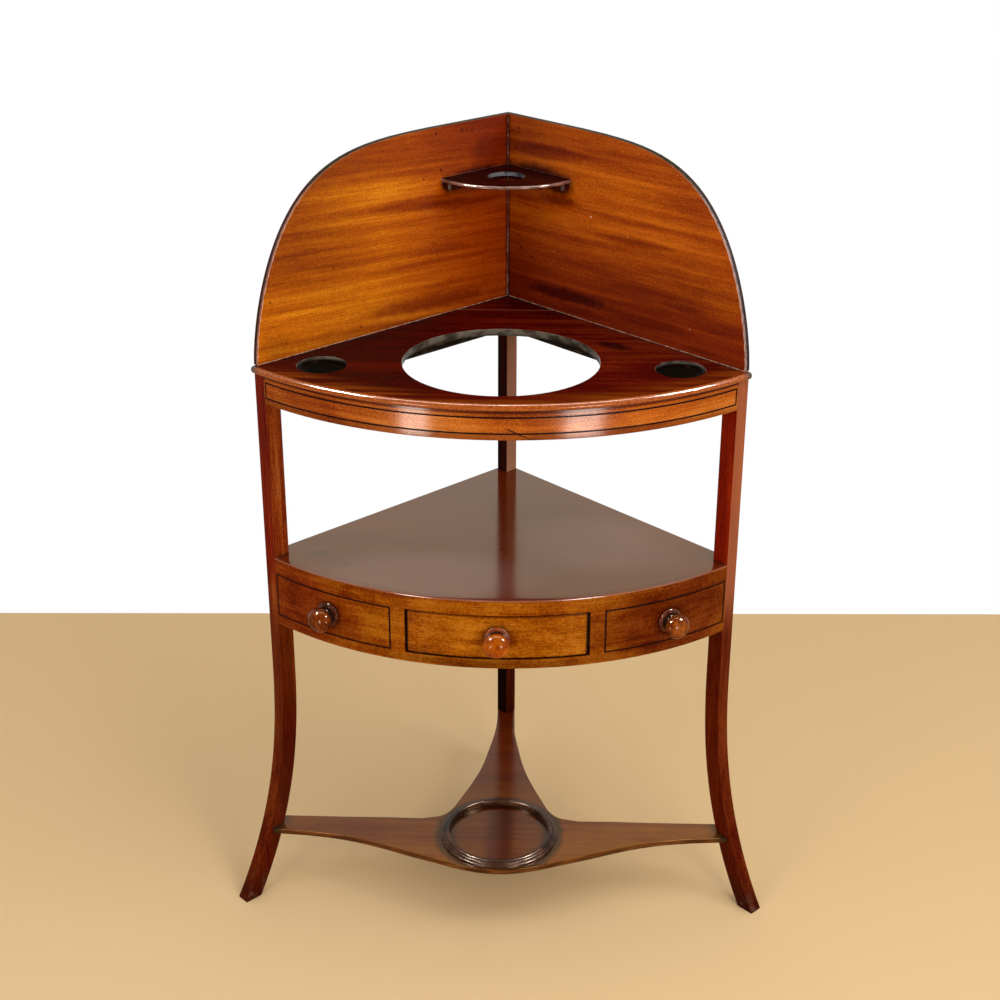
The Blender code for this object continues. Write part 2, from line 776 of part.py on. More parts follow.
def splash_outline():
    """A top that is nearly level by the corner and falls in a full shoulder to the front end."""
    base = BOARD_TOP_Z + GAP
    shoulder = []
    for i in range(SHOULDER_POINTS + 1):
        angle = HALF_TURN / 2 * i / SHOULDER_POINTS
        along_share = max(math.cos(angle), 0) ** (2 / SHOULDER_ALONG_EXPONENT)
        height_share = math.sin(angle) ** (2 / SHOULDER_HEIGHT_EXPONENT)
        shoulder.append((SIDE_LENGTH * along_share, base + SPLASH_HEIGHT * height_share))
    return [(-SPLASH_THICKNESS, base)] + shoulder + [(-SPLASH_THICKNESS, base + SPLASH_HEIGHT)]


def soap_disc(name, growth):
    """Moulded disc from which the corner soap shelf is cut, in its place."""
    radius = SOAP_RADIUS + growth
    high = SOAP_TOP_Z + growth
    depth = SOAP_THICKNESS + 2 * growth
    edge = [(radius - SOAP_NOSE * inset, high - depth * drop) for inset, drop in SOAP_PROFILE_shares]
    profile = [(0, high)] + edge + [(0, high - depth)]
    half_step = Matrix.Rotation(HALF_TURN / SOAP_STEPS, 4, "Z")
    place = PLAN @ Matrix.Translation((0, -SOAP_CENTRE_DEPTH, 0)) @ half_step
    return turned(name, profile, SOAP_STEPS, place)


def soap_form(name, growth):
    disc = soap_disc(name, growth)
    reach = SOAP_RADIUS + SOAP_CENTRE_DEPTH + OVERRUN * 2
    low = SOAP_TOP_Z - SOAP_THICKNESS - OVERRUN
    wedge = plate(name + "_wedge", wedge_outline(SOAP_HOUSING + growth, reach), low, SOAP_TOP_Z + OVERRUN)
    return combine(disc, as_cutter(wedge), "INTERSECT")


def make_splashbacks():
    for side in (-1, 1):
        name = "splashback_" + side_name(side)
        board = plate(name, splash_outline(), 0, SPLASH_THICKNESS, wall_frame(side))
        soften(board, SPLASH_SOFTENING)
        low = BOARD_TOP_Z - OVERRUN
        high = BOARD_TOP_Z + SPLASH_HEIGHT + OVERRUN
        near, far = sorted((-side * SPLASH_THICKNESS * 3, side * GAP / 2))
        depth = SPLASH_THICKNESS * 3
        mitre = block(name + "_mitre", (near, -depth, low), (far, depth, high))
        housing = soap_form(name + "_housing", GAP)
        cut(board, mitre, housing)
        as_part(board, SPLASH)


def make_soap_shelf():
    shelf = soap_form("soap_shelf", 0)
    place = PLAN @ Matrix.Translation((0, -SOAP_HOLE_DEPTH, 0))
    low = SOAP_TOP_Z - SOAP_THICKNESS - OVERRUN
    hole = cylinder("soap_hole", SOAP_HOLE_RADIUS, low, SOAP_TOP_Z + OVERRUN, SOAP_HOLE_FACETS, place)
    cut(shelf, hole)
    as_part(shelf, TOP)


def make_soap_bearers():
    """Strips under the soap shelf, one along each wall, with a rounded front end."""
    high = SOAP_TOP_Z - SOAP_THICKNESS - GAP
    reach = DIAGONAL * SOAP_CENTRE_DEPTH
    end = reach + math.sqrt(SOAP_RADIUS**2 - reach**2) - BEARER_INSET
    for side in (-1, 1):
        bearer = block(
            "soap_bearer_" + side_name(side),
            (BEARER_WIDTH + GAP, high - BEARER_HEIGHT, -BEARER_WIDTH),
            (end, high, -GAP),
            wall_frame(side),
        )
        tip_x, tip_y = wall_point(side, end, -BEARER_WIDTH)

        def free_arris(middle, direction):
            from_tip = math.hypot(middle.x - tip_x, middle.y - CORNER_Y - tip_y)
            return not is_level(direction) and from_tip < GAP

        round_edges(bearer, free_arris, BEARER_ROUNDING, 4)
        as_part(soften(bearer, BEARER_SOFTENING, 1), TOP)


def make_shelf_board():
    """Middle shelf: it lies in the frieze's rebate and on the rails, and is notched round the posts."""
    front = BOW_RADIUS - FRIEZE_LIP - GAP
    angle = bow_angle_at(front, SPLASH_THICKNESS)
    outline = [(0, SPLASH_THICKNESS / DIAGONAL)] + bow_arc(front, -angle, angle)
    board = plate("shelf_board", outline, SHELF_UNDERSIDE_Z, SHELF_TOP_Z)
    low = SHELF_UNDERSIDE_Z - OVERRUN
    high = SHELF_TOP_Z + OVERRUN
    cut(board, back_post_form("shelf_back_notch", low, high, GAP))
    for side in (-1, 1):
        near = (SIDE_LENGTH - POST_WIDTH - GAP, low, POST_INNER_OFFSET - GAP)
        far = (SIDE_LENGTH + OVERRUN, high, SPLASH_THICKNESS + OVERRUN)
        cut(board, block("shelf_notch_" + side_name(side), near, far, wall_frame(side)))
    as_part(board, SHELF)


def runner_outline(side, near, far):
    """Plan outline of a strip from the frieze's back to the rail along the wall."""
    back = RAIL_INNER_OFFSET / DIAGONAL - GAP / DIAGONAL
    front = BOW_RADIUS - FRIEZE_THICKNESS - GAP
    points = [(near, bow_y(front, near)), (far, bow_y(front, far)), (far, back - far), (near, back - near)]
    return [(side * x, y) for x, y in points]


def make_drawer_carriers():
    """Runners under the drawer's sides, guides beside them, kickers above and stops behind."""
    far = OPENING_HALF_WIDTH - DRAWER_SIDE_CLEARANCE + RUNNER_OUTSET
    near = far - RUNNER_WIDTH
    guide_near = DRAWER_HALF_WIDTH + GUIDE_CLEARANCE
    top = OPENING_BOTTOM_Z
    kicker_low = DRAWER_SIDE_TOP_Z + KICKER_CLEARANCE
    side_back = drawer_back_y()
    for side in (-1, 1):
        end = side_name(side)
        full = runner_outline(side, near, far)
        narrow = runner_outline(side, guide_near, far)
        as_part(plate("drawer_runner_" + end, full, top - RUNNER_HEIGHT, top), LINING)
        as_part(plate("drawer_guide_" + end, narrow, top + GAP, kicker_low - GAP), LINING)
        as_part(plate("drawer_kicker_" + end, full, kicker_low, SHELF_UNDERSIDE_Z - GAP), LINING)
        inner = DRAWER_HALF_WIDTH - DRAWER_SIDE_THICKNESS
        left, right = sorted((side * inner, side * DRAWER_HALF_WIDTH))
        stop = block(
            "drawer_stop_" + end,
            (left, side_back + GAP, top + GAP),
            (right, side_back + GAP + STOP_LENGTH, top + STOP_HEIGHT),
        )
        as_part(stop, LINING)


def drawer_inner_y():
    """Plan place of the flat inner face of the drawer's front."""
    return bow_y(BOW_RADIUS, DRAWER_HALF_WIDTH) + DRAWER_FRONT_END_THICKNESS


def drawer_back_y():
    """Plan place of the back of the drawer, short of the rails that converge behind it."""
    return RAIL_INNER_OFFSET / DIAGONAL - DRAWER_HALF_WIDTH - DRAWER_BACK_CLEARANCE


def tail_outlines(shoulder, direction, length, low, high, growth=0, overlap=0):
    """Side views of the dovetails on a drawer side's end: they flare from the shoulder to the tips."""
    tail = (high - low - PIN_WIDTH * TAIL_COUNT) / TAIL_COUNT
    outlines = []
    for i in range(TAIL_COUNT):
        bottom = low + PIN_WIDTH / 2 + (tail + PIN_WIDTH) * i
        narrow = (bottom + TAIL_FLARE / 2 - growth, bottom + tail - TAIL_FLARE / 2 + growth)
        wide = (bottom - growth, bottom + tail + growth)
        root = shoulder - direction * overlap
        tip = shoulder + direction * (length + growth)
        outlines.append(
            [
                (root, narrow[0]),
                (shoulder, narrow[0]),
                (tip, wide[0]),
                (tip, wide[1]),
                (shoulder, narrow[1]),
                (root, narrow[1]),
            ]
        )
    return outlines


def tails_form(name, side, shoulder, direction, length, low, high, growth=0, past=0):
    inner = DRAWER_HALF_WIDTH - DRAWER_SIDE_THICKNESS - growth
    outer = DRAWER_HALF_WIDTH + past
    near, far = sorted((side * inner, side * outer))
    outlines = tail_outlines(shoulder, direction, length, low, high, growth, OVERRUN)
    mesh = outline_mesh(name, outlines, near, far)
    return bpy.data.objects.new(name, placed_mesh(mesh, PROFILE))


def make_drawer():
    """Drawer with a bowed front, sides dovetailed to front and back, and a bottom let into grooves."""
    inner_y = drawer_inner_y()
    side_inner = DRAWER_HALF_WIDTH - DRAWER_SIDE_THICKNESS
    back_low = DRAWER_BOTTOM_HIGH_Z + GAP
    back_y = drawer_back_y()
    back_face = back_y - DRAWER_BACK_THICKNESS
    half_angle = math.asin(DRAWER_HALF_WIDTH / BOW_RADIUS)
    arc = bow_arc(BOW_RADIUS, -half_angle, half_angle)
    outline = arc + [(DRAWER_HALF_WIDTH, inner_y), (-DRAWER_HALF_WIDTH, inner_y)]
    front = plate("drawer_front", outline, DRAWER_FRONT_BOTTOM_Z, DRAWER_FRONT_TOP_Z)

    def face_arris(middle, direction):
        on_bow = bow_distance(middle) > BOW_RADIUS - GAP
        return on_bow and (is_level(direction) or abs(middle.x) > DRAWER_HALF_WIDTH - GAP)

    round_edges(front, face_arris, DRAWER_EDGE_SOFTENING, 2)
    back = block(
        "drawer_back",
        (-DRAWER_HALF_WIDTH, back_face, back_low),
        (DRAWER_HALF_WIDTH, back_y, DRAWER_SIDE_TOP_Z),
    )
    groove_near = (DRAWER_BOTTOM_LOW_Z - GAP, DRAWER_BOTTOM_HIGH_Z + GAP)
    for side in (-1, 1):
        end = side_name(side)
        name = "drawer_side_" + end
        near, far = sorted((side * side_inner, side * DRAWER_HALF_WIDTH))
        body = block(
            name,
            (near, inner_y + GAP, DRAWER_SIDE_BOTTOM_Z),
            (far, back_face - GAP, DRAWER_SIDE_TOP_Z),
        )
        front_tails = (inner_y, -1, TAIL_LENGTH, DRAWER_SIDE_BOTTOM_Z, DRAWER_SIDE_TOP_Z)
        back_tails = (back_face, 1, DRAWER_BACK_THICKNESS, back_low, DRAWER_SIDE_TOP_Z)
        join(body, tails_form(name + "_front_tails", side, *front_tails))
        join(body, tails_form(name + "_back_tails", side, *back_tails))
        cut(front, tails_form(name + "_front_sockets", side, *front_tails, GAP, OVERRUN))
        cut(back, tails_form(name + "_back_sockets", side, *back_tails, GAP, OVERRUN))
        left, right = sorted((side * (side_inner - OVERRUN), side * (side_inner + DRAWER_GROOVE_DEPTH)))
        groove = block(
            name + "_groove",
            (left, inner_y - TAIL_LENGTH - OVERRUN, groove_near[0]),
            (right, back_y + OVERRUN, groove_near[1]),
        )
        cut(body, groove)
        as_part(body, LINING)
    bottom_half = side_inner + DRAWER_GROOVE_DEPTH - GAP
    front_groove = block(
        "drawer_front_groove",
        (-bottom_half - GAP, inner_y - DRAWER_GROOVE_DEPTH - GAP, groove_near[0]),
        (bottom_half + GAP, inner_y + OVERRUN, groove_near[1]),
    )
    cut(front, front_groove)
    bottom = block(
        "drawer_bottom",
        (-bottom_half, inner_y - DRAWER_GROOVE_DEPTH, DRAWER_BOTTOM_LOW_Z),
        (bottom_half, back_y, DRAWER_BOTTOM_HIGH_Z),
    )
    as_part(bottom, LINING)
    as_part(back, LINING)
    return as_part(front, FRONT)


def knob_profile():
    """Outer side of a turned knob, top to bottom: ball, neck, stepped flange and spigot."""
    ball_middle = KNOB_FLANGE_DEPTH + KNOB_NECK_DEPTH + KNOB_BALL_DEPTH / 2
    half = KNOB_BALL_DEPTH / 2
    last = math.asin(KNOB_NECK_RADIUS / KNOB_BALL_RADIUS)
    sweep = HALF_TURN - last
    count = KNOB_STEPS // 2
    points = []
    for i in range(count + 1):
        angle = sweep * i / count
        points.append((KNOB_BALL_RADIUS * math.sin(angle), ball_middle + half * math.cos(angle)))
    neck_low = KNOB_FLANGE_DEPTH
    points.append((KNOB_NECK_RADIUS, neck_low + KNOB_FLANGE_DEPTH / 4))
    for radius_share, depth_share in KNOB_FLANGE_shares:
        points.append((KNOB_FLANGE_RADIUS * radius_share, neck_low * depth_share))
    points.append((KNOB_SPIGOT_RADIUS, 0))
    points.append((KNOB_SPIGOT_RADIUS, -KNOB_SPIGOT_LENGTH))
    points.append((0, -KNOB_SPIGOT_LENGTH))
    return points


def make_knob(name, angle, carrier):
    """Turned knob whose flange seats on the bow and whose spigot enters the carrier."""
    place = bow_frame(angle, KNOB_Z)
    hole_low = -KNOB_SPIGOT_LENGTH - GAP * 2
    hole = cylinder(name + "_hole", KNOB_SPIGOT_RADIUS + GAP, hole_low, OVERRUN, SPIGOT_FACETS, place)
    cut(carrier, hole)
    knob = turned(name, knob_profile(), KNOB_STEPS, place @ Matrix.Translation((0, 0, GAP)))
    as_part(knob, KNOB)


def make_stretcher():
    """Three-armed platform: its arms run in concave curves to the legs and are notched round them."""
    middle_z = (STRETCHER_TOP_Z + STRETCHER_LOW_Z) / 2
    leg_back = SIDE_LENGTH - POST_WIDTH + (LEG_SWEEP - LEG_FOOT_FLARE) * leg_sweep(middle_z)
    leg_front = SIDE_LENGTH + LEG_SWEEP * leg_sweep(middle_z)
    leg_middle = (POST_INNER_OFFSET + SPLASH_THICKNESS) / 2
    leg_x, leg_y = wall_point(1, (leg_back + leg_front) / 2, leg_middle)
    arm_back = leg_y + ARM_BACK_REACH
    arm_front = leg_y - ARM_FRONT_REACH
    front = -(RING_CENTRE_DEPTH + RING_OUTER_RADIUS + PLATFORM_MARGIN)
    outer_plane = SPLASH_THICKNESS / DIAGONAL
    quarter = (leg_front - leg_back) / 4
    back_end = DIAGONAL * (2 * SPLASH_THICKNESS - BACK_POST_SIZE)
    half = [(BACK_ARM_HALF_WIDTH, back_end)]
    half += [(leg_x * across, arm_back * down) for across, down in BACK_CURVE_shares]
    half.append((outer_plane - arm_back, arm_back))
    half.append(wall_point(1, leg_back + 2 * quarter, SPLASH_THICKNESS))
    half.append(wall_point(1, leg_front - quarter, leg_middle))
    arm_end_x = arm_front + (leg_front - quarter) / DIAGONAL
    half.append((arm_end_x, arm_front))
    corner_indices = {0} | set(range(len(BACK_CURVE_shares) + 1, len(BACK_CURVE_shares) + 5))
    half += [
        (leg_x * across, arm_front + (front - arm_front) * down)
        for across, down in FRONT_CURVE_shares
    ]
    mirrored = [(-x, y) for x, y in reversed(half)]
    outline = half + [(0, front)] + mirrored
    last = len(outline) - 1
    corners = corner_indices | {last - i for i in corner_indices}
    platform = plate("stretcher", outline, STRETCHER_LOW_Z, STRETCHER_TOP_Z, PLAN, corners)

    def free_edge(middle, direction):
        at_leg = abs(middle.x) > leg_x - POST_THICKNESS / 2
        at_post = middle.y > CORNER_Y + back_end - GAP
        return is_level(direction) and not at_leg and not at_post

    round_edges(platform, free_edge, STRETCHER_SOFTENING, 2)
    for side in (-1, 1):
        cut(platform, leg_form("stretcher_notch_" + side_name(side), side, GAP))
    low = STRETCHER_LOW_Z - OVERRUN
    cut(platform, back_post_form("stretcher_back_notch", low, STRETCHER_TOP_Z + OVERRUN, GAP))
    as_part(platform, SHELF)


def make_ring():
    """Turned ring: a low outer step and a raised, rounded rim."""
    width = RING_OUTER_RADIUS - RING_INNER_RADIUS
    base = STRETCHER_TOP_Z + GAP
    profile = [
        (RING_INNER_RADIUS + width * across, base + RING_HEIGHT * up)
        for across, up in RING_PROFILE_shares
    ]
    place = PLAN @ Matrix.Translation((0, -RING_CENTRE_DEPTH, 0))
    as_part(turned("ewer_ring", profile, RING_STEPS, place, closed=True), FRAME)


for old in list(bpy.data.objects):
    bpy.data.objects.remove(old)

PARTS = bpy.data.collections.new("corner_washstand")
CUTTERS = bpy.data.collections.new("cutters")
bpy.context.scene.collection.children.link(PARTS)
bpy.context.scene.collection.children.link(CUTTERS)

SPLASH = material("splashback_mahogany", SPLASH_FINISH)
TOP = material("top_mahogany", TOP_FINISH)
FRONT = material("front_mahogany", FRONT_FINISH)
FRAME = material("frame_mahogany", FRAME_FINISH)
SHELF = material("shelf_mahogany", SHELF_FINISH)
KNOB = material("knob_mahogany", KNOB_FINISH)
LINING = material("drawer_lining", LINING_FINISH)
STRING = material("black_stringing", STRING_FINISH)

LEGS = make_legs()
for SIDE in (-1, 1):
    make_back_rail("upper", SIDE, APRON_BOTTOM_Z, APRON_TOP_Z, LEGS[SIDE], LEGS[0])
    make_back_rail("lower", SIDE, FRIEZE_BOTTOM_Z, SHELF_UNDERSIDE_Z - GAP, LEGS[SIDE], LEGS[0])
make_upper_apron(LEGS)
make_top_board()
make_splashbacks()
make_soap_shelf()
make_soap_bearers()
FRIEZE_PIECE = make_frieze(LEGS)
make_shelf_board()
make_drawer_carriers()
DRAWER_PIECE = make_drawer()
make_knob("drawer_knob", 0, DRAWER_PIECE)
PANEL_MIDDLE_ANGLE = (PANEL_STRING_START + string_reach()) / 2 / BOW_RADIUS
make_knob("dummy_knob_left", -PANEL_MIDDLE_ANGLE, FRIEZE_PIECE)
make_knob("dummy_knob_right", PANEL_MIDDLE_ANGLE, FRIEZE_PIECE)
make_stretcher()
make_ring()
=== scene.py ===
"""Looks of the bow-front corner washstand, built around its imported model.

Metres, +Z up, the bowed front towards -Y. Every finish is made of nodes, in the object's own
coordinates, with the grain running along each board as it was sawn.
"""

import math

import bmesh
import bpy
from mathutils import Matrix, Vector


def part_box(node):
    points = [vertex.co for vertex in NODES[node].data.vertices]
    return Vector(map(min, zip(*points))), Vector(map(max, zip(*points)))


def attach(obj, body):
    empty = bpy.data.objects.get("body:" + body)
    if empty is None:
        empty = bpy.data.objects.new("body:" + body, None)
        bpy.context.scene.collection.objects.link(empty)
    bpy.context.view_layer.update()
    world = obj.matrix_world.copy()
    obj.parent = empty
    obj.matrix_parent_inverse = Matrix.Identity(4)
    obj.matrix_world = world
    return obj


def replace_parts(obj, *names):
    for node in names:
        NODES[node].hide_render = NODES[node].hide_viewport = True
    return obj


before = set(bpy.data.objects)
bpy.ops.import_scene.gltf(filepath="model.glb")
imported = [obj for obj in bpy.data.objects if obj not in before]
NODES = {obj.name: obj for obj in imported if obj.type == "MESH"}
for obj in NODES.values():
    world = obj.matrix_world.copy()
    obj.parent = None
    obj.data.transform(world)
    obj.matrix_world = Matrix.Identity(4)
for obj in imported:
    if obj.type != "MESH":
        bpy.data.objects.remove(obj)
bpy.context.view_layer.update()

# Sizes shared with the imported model
BOW_RADIUS = 0.463
SPLASH_THICKNESS = 0.009
REAR_JOINT = 0.066
SOAP_HOLE_SETBACK = 0.0725
STRING_WIDTH = 0.0013
RING_WIDTH = 0.0122
KNOB_FLANGE_RADIUS = 0.0172
KNOB_FLANGE_DEPTH = 0.0050
KNOB_NECK_RADIUS = 0.0080
KNOB_NECK_DEPTH = 0.0042
KNOB_BALL_RADIUS = 0.0171
KNOB_BALL_DEPTH = 0.0225

# Fineness of the replaced pieces
LIP_ROUNDING = 0.0026
KNOB_GAP = 0.0003
KNOB_STEPS = 72
BALL_STEPS = 28
RING_STEPS = 144

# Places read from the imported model
BOW_CENTRE_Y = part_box("drawer_front")[0].y + BOW_RADIUS
CORNER_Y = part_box("top_board_rear")[1].y - SPLASH_THICKNESS * math.sqrt(2)
BOARD_TOP_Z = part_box("top_board")[1].z
FRIEZE_TOP_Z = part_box("frieze_front")[1].z

# Camera of the photograph
CAMERA_PLACE = (0.0668, CORNER_Y - 2.3282, 1.5289)
CAMERA_YAW = -0.0332
CAMERA_PITCH = 0.4257
CAMERA_ROLL = 0.0014
CAMERA_LENS = 60.357
CAMERA_SENSOR = 36

# Stage
FLOOR_COLOUR = (0.75, 0.505, 0.242)
FLOOR_BACK_Y = 0.74
FLOOR_REACH = 3.0
WORLD_LIGHT = 0.62
ROOM_GLOSS = 0.10
RIGHT_GLOSS = 0.8

# Axes of the boards
X_AXIS = Vector((1, 0, 0))
Y_AXIS = Vector((0, 1, 0))
Z_AXIS = Vector((0, 0, 1))
LEVEL = (1, 1, 0)
WALLS = {"left": Vector((-1, -1, 0)).normalized(), "right": Vector((1, -1, 0)).normalized()}

# Dark, middle and light tones, and places in the wood, that more than one finish uses
TOP_TONES = ((0.030, 0.0004, 0.0003), (0.062, 0.0010, 0.0005), (0.120, 0.0070, 0.0016))
SOAP_TONES = ((0.012, 0.001, 0.001), (0.028, 0.002, 0.0015), (0.060, 0.006, 0.003))
TOP_OFFSET = (1.3, 6.1, 0.2)
SOAP_OFFSET = (0.4, 1.3, 7.1)
FRIEZE_OFFSET = (5.7, 3.2, 1.0)
# Colour of grime and painted shade in crevices
GRIME_AND_SHADE_COLOUR = (0.010, 0.004, 0.002)
BUMP_DEPTH = 0.00025

# Polished mahogany where a finish doesn't say otherwise
WOOD = dict(
    ribbon=1.0, ribbon_size=(1.6, 26, 26), streak=1.0, streak_size=(5, 150, 150),
    thread=0.6, thread_size=(22, 800, 800), cloud=0.5, cloud_size=(5, 9, 9),
    mottle=0.0, mottle_size=(90, 190, 190), pore=0.30, pore_size=(70, 1500, 1500),
    wander=0.006, roughness=0.30, roughness_change=0.10, specular=0.06, specular_tint=(1.0, 0.93, 0.75),
    bump=0.25, grime=0.75, grime_reach=0.014, wear=0.0, wear_colour=(0.62, 0.30, 0.16), wear_radius=0.0012,
)


class Tree:
    """A node tree, with short words for the nodes that the finishes share."""

    def __init__(self, owner):
        owner.use_nodes = True
        self.nodes = owner.node_tree.nodes
        self.links = owner.node_tree.links

    def add(self, kind, inputs=None, **settings):
        """A node with its settings made and its inputs linked or set."""
        node = self.nodes.new("ShaderNode" + kind)
        for name, value in settings.items():
            setattr(node, name, value)
        for key, value in (inputs or {}).items():
            self.put(node.inputs[key], value)
        return node

    def put(self, socket, value):
        """Links an output to a socket, or sets the socket to a plain value."""
        if isinstance(value, bpy.types.NodeSocket):
            self.links.new(value, socket)
        elif socket.type == "RGBA":
            socket.default_value = (*value, 1)
        else:
            socket.default_value = value

    def math(self, operation, first, second=0.0):
        return self.add("Math", {0: first, 1: second}, operation=operation).outputs[0]

    def vector(self, operation, first, second=(0, 0, 0)):
        node = self.add("VectorMath", {0: first, 1: second}, operation=operation)
        return node.outputs["Value" if operation in ("LENGTH", "DOT_PRODUCT", "DISTANCE") else "Vector"]

    def joined(self, *values):
        """A vector from up to three values."""
        return self.add("CombineXYZ", dict(enumerate(values))).outputs[0]

    def parts(self, vector):
        return self.add("SeparateXYZ", {0: vector}).outputs

    def noise(self, place, stretch, detail=3.0, roughness=0.5):
        """Noise whose cells are stretched along the axes of a place, in cells for each metre."""
        scaled = self.vector("MULTIPLY", place, stretch)
        inputs = {"Vector": scaled, "Scale": 1.0, "Detail": detail, "Roughness": roughness}
        return self.add("TexNoise", inputs).outputs["Fac"]

    def limits(self, value, low, high, to_low=0.0, to_high=1.0):
        """Maps a value smoothly between two limits and stops there. It falls where the first is higher."""
        inputs = {"Value": value, "From Min": low, "From Max": high, "To Min": to_low, "To Max": to_high}
        return self.add("MapRange", inputs, interpolation_type="SMOOTHSTEP").outputs["Result"]

    def between(self, value, low, high, fade):
        """1 between two levels, fading out past them."""
        return self.times(self.limits(value, low - fade, low), self.limits(value, high + fade, high))

    def mix(self, factor, first, second, blend="MIX"):
        """One colour over another."""
        inputs = {0: factor, 6: first, 7: second}
        return self.add("Mix", inputs, data_type="RGBA", blend_type=blend).outputs[2]

    def change(self, factor, first, second):
        """A number that changes from the first to the second."""
        return self.add("Mix", {0: factor, 2: first, 3: second}, data_type="FLOAT").outputs[0]

    def ramp(self, factor, stops):
        """Colours at places between 0 and 1."""
        node = self.add("ValToRGB", {"Fac": factor})
        elements = node.color_ramp.elements
        while len(elements) < len(stops):
            elements.new(1.0)
        for element, (place, colour) in zip(elements, stops):
            element.position = place
            element.color = (*colour, 1)
        return node.outputs["Color"]

    def times(self, *values):
        result = values[0]
        for value in values[1:]:
            result = self.math("MULTIPLY", result, value)
        return result

    def centred(self, value, strength):
        """A noise value made to swing about zero by a strength."""
        return self.times(self.math("SUBTRACT", value, 0.5), strength)


class Coat(Tree):
    """One material: its object's own coordinates, the grain of its wood and its colour so far."""

    def __init__(self, name):
        self.material = bpy.data.materials.new(name)
        super().__init__(self.material)
        self.surface = self.nodes["Principled BSDF"]
        self.place = self.add("TexCoord").outputs["Object"]
        self.grain = None
        self.colour = None

    def facing(self):
        """The direction that the surface faces."""
        return self.add("NewGeometry").outputs["Normal"]

    def cells(self, size, detail=3.0, roughness=0.5):
        """Noise of even cells over the object."""
        return self.noise(self.place, (size, size, size), detail, roughness)

    def cover(self, colour, *masks):
        """Lays a colour over the surface where all masks are set."""
        self.colour = self.mix(self.times(*masks), self.colour, colour)

    def stain(self, tint, *masks):
        """Multiplies the surface's colour by a tint where all masks are set."""
        self.colour = self.mix(self.times(*masks), self.colour, tint, "MULTIPLY")

    def painted(self):
        """Gives the surface its colour and hands the material over."""
        self.put(self.surface.inputs["Base Color"], self.colour)
        return self.material


def straight_grain(coat, along, across, offset, tilt):
    """Grain space of a flat board: metres along, across and through it."""
    through = along.cross(across)
    spin = Matrix.Rotation(tilt, 3, through)
    rows = Matrix((spin @ along, spin @ across, through))
    inputs = {"Vector": coat.place, "Location": offset, "Rotation": rows.to_euler()}
    return coat.add("Mapping", inputs).outputs["Vector"]


def bow_reach(coat):
    """Plan distance from the bow's centre, and the arc length along the bow."""
    middle = coat.vector("SUBTRACT", coat.place, (0, BOW_CENTRE_Y, 0))
    parts = coat.parts(middle)
    angle = coat.math("ARCTAN2", parts["X"], coat.times(parts["Y"], -1.0))
    level = coat.vector("MULTIPLY", middle, LEVEL)
    return coat.vector("LENGTH", level), coat.times(angle, BOW_RADIUS)


def edge_mask(coat, radius):
    """Where the surface turns within a small radius: its arrises and rims."""
    rounded = coat.add("Bevel", {"Radius": radius}, samples=6).outputs["Normal"]
    turn = coat.math("SUBTRACT", 1.0, coat.vector("DOT_PRODUCT", rounded, coat.facing()))
    return coat.limits(turn, 0.03, 0.30)


def patch(coat, first, second, centre, radii, tilt=0.0, ragged=0.7):
    """A soft-edged, ragged oval in two coordinates, turned by a tilt."""
    first = coat.math("SUBTRACT", first, centre[0])
    second = coat.math("SUBTRACT", second, centre[1])
    cosine, sine = math.cos(tilt), math.sin(tilt)
    along = coat.math("ADD", coat.times(first, cosine), coat.times(second, sine))
    across = coat.math("SUBTRACT", coat.times(second, cosine), coat.times(first, sine))
    oval = coat.joined(coat.math("DIVIDE", along, radii[0]), coat.math("DIVIDE", across, radii[1]))
    rough = coat.cells(1.2 / min(radii), 4.0, 0.6)
    reach = coat.math("ADD", coat.vector("LENGTH", oval), coat.centred(rough, ragged))
    return coat.limits(reach, 1.0, 0.35)


def ovals(coat, first, second, marks, tilt=0.0, ragged=0.7):
    """Stains that are (centre, radii, strength, tint) in two coordinates, with a tilt of their own or not."""
    for centre, radii, strength, tint, *own in marks:
        mask = patch(coat, first, second, centre, radii, own[0] if own else tilt, ragged)
        coat.stain(tint, mask, strength)


def specks(coat, points):
    """Small round marks at (point, radius) places."""
    nearest = None
    for point, radius in points:
        away = coat.math("SUBTRACT", coat.vector("DISTANCE", coat.place, point), radius)
        nearest = away if nearest is None else coat.math("MINIMUM", nearest, away)
    nearest = coat.math("ADD", nearest, coat.centred(coat.cells(420, 2.0), 0.0035))
    return coat.limits(nearest, 0.0008, -0.0012)


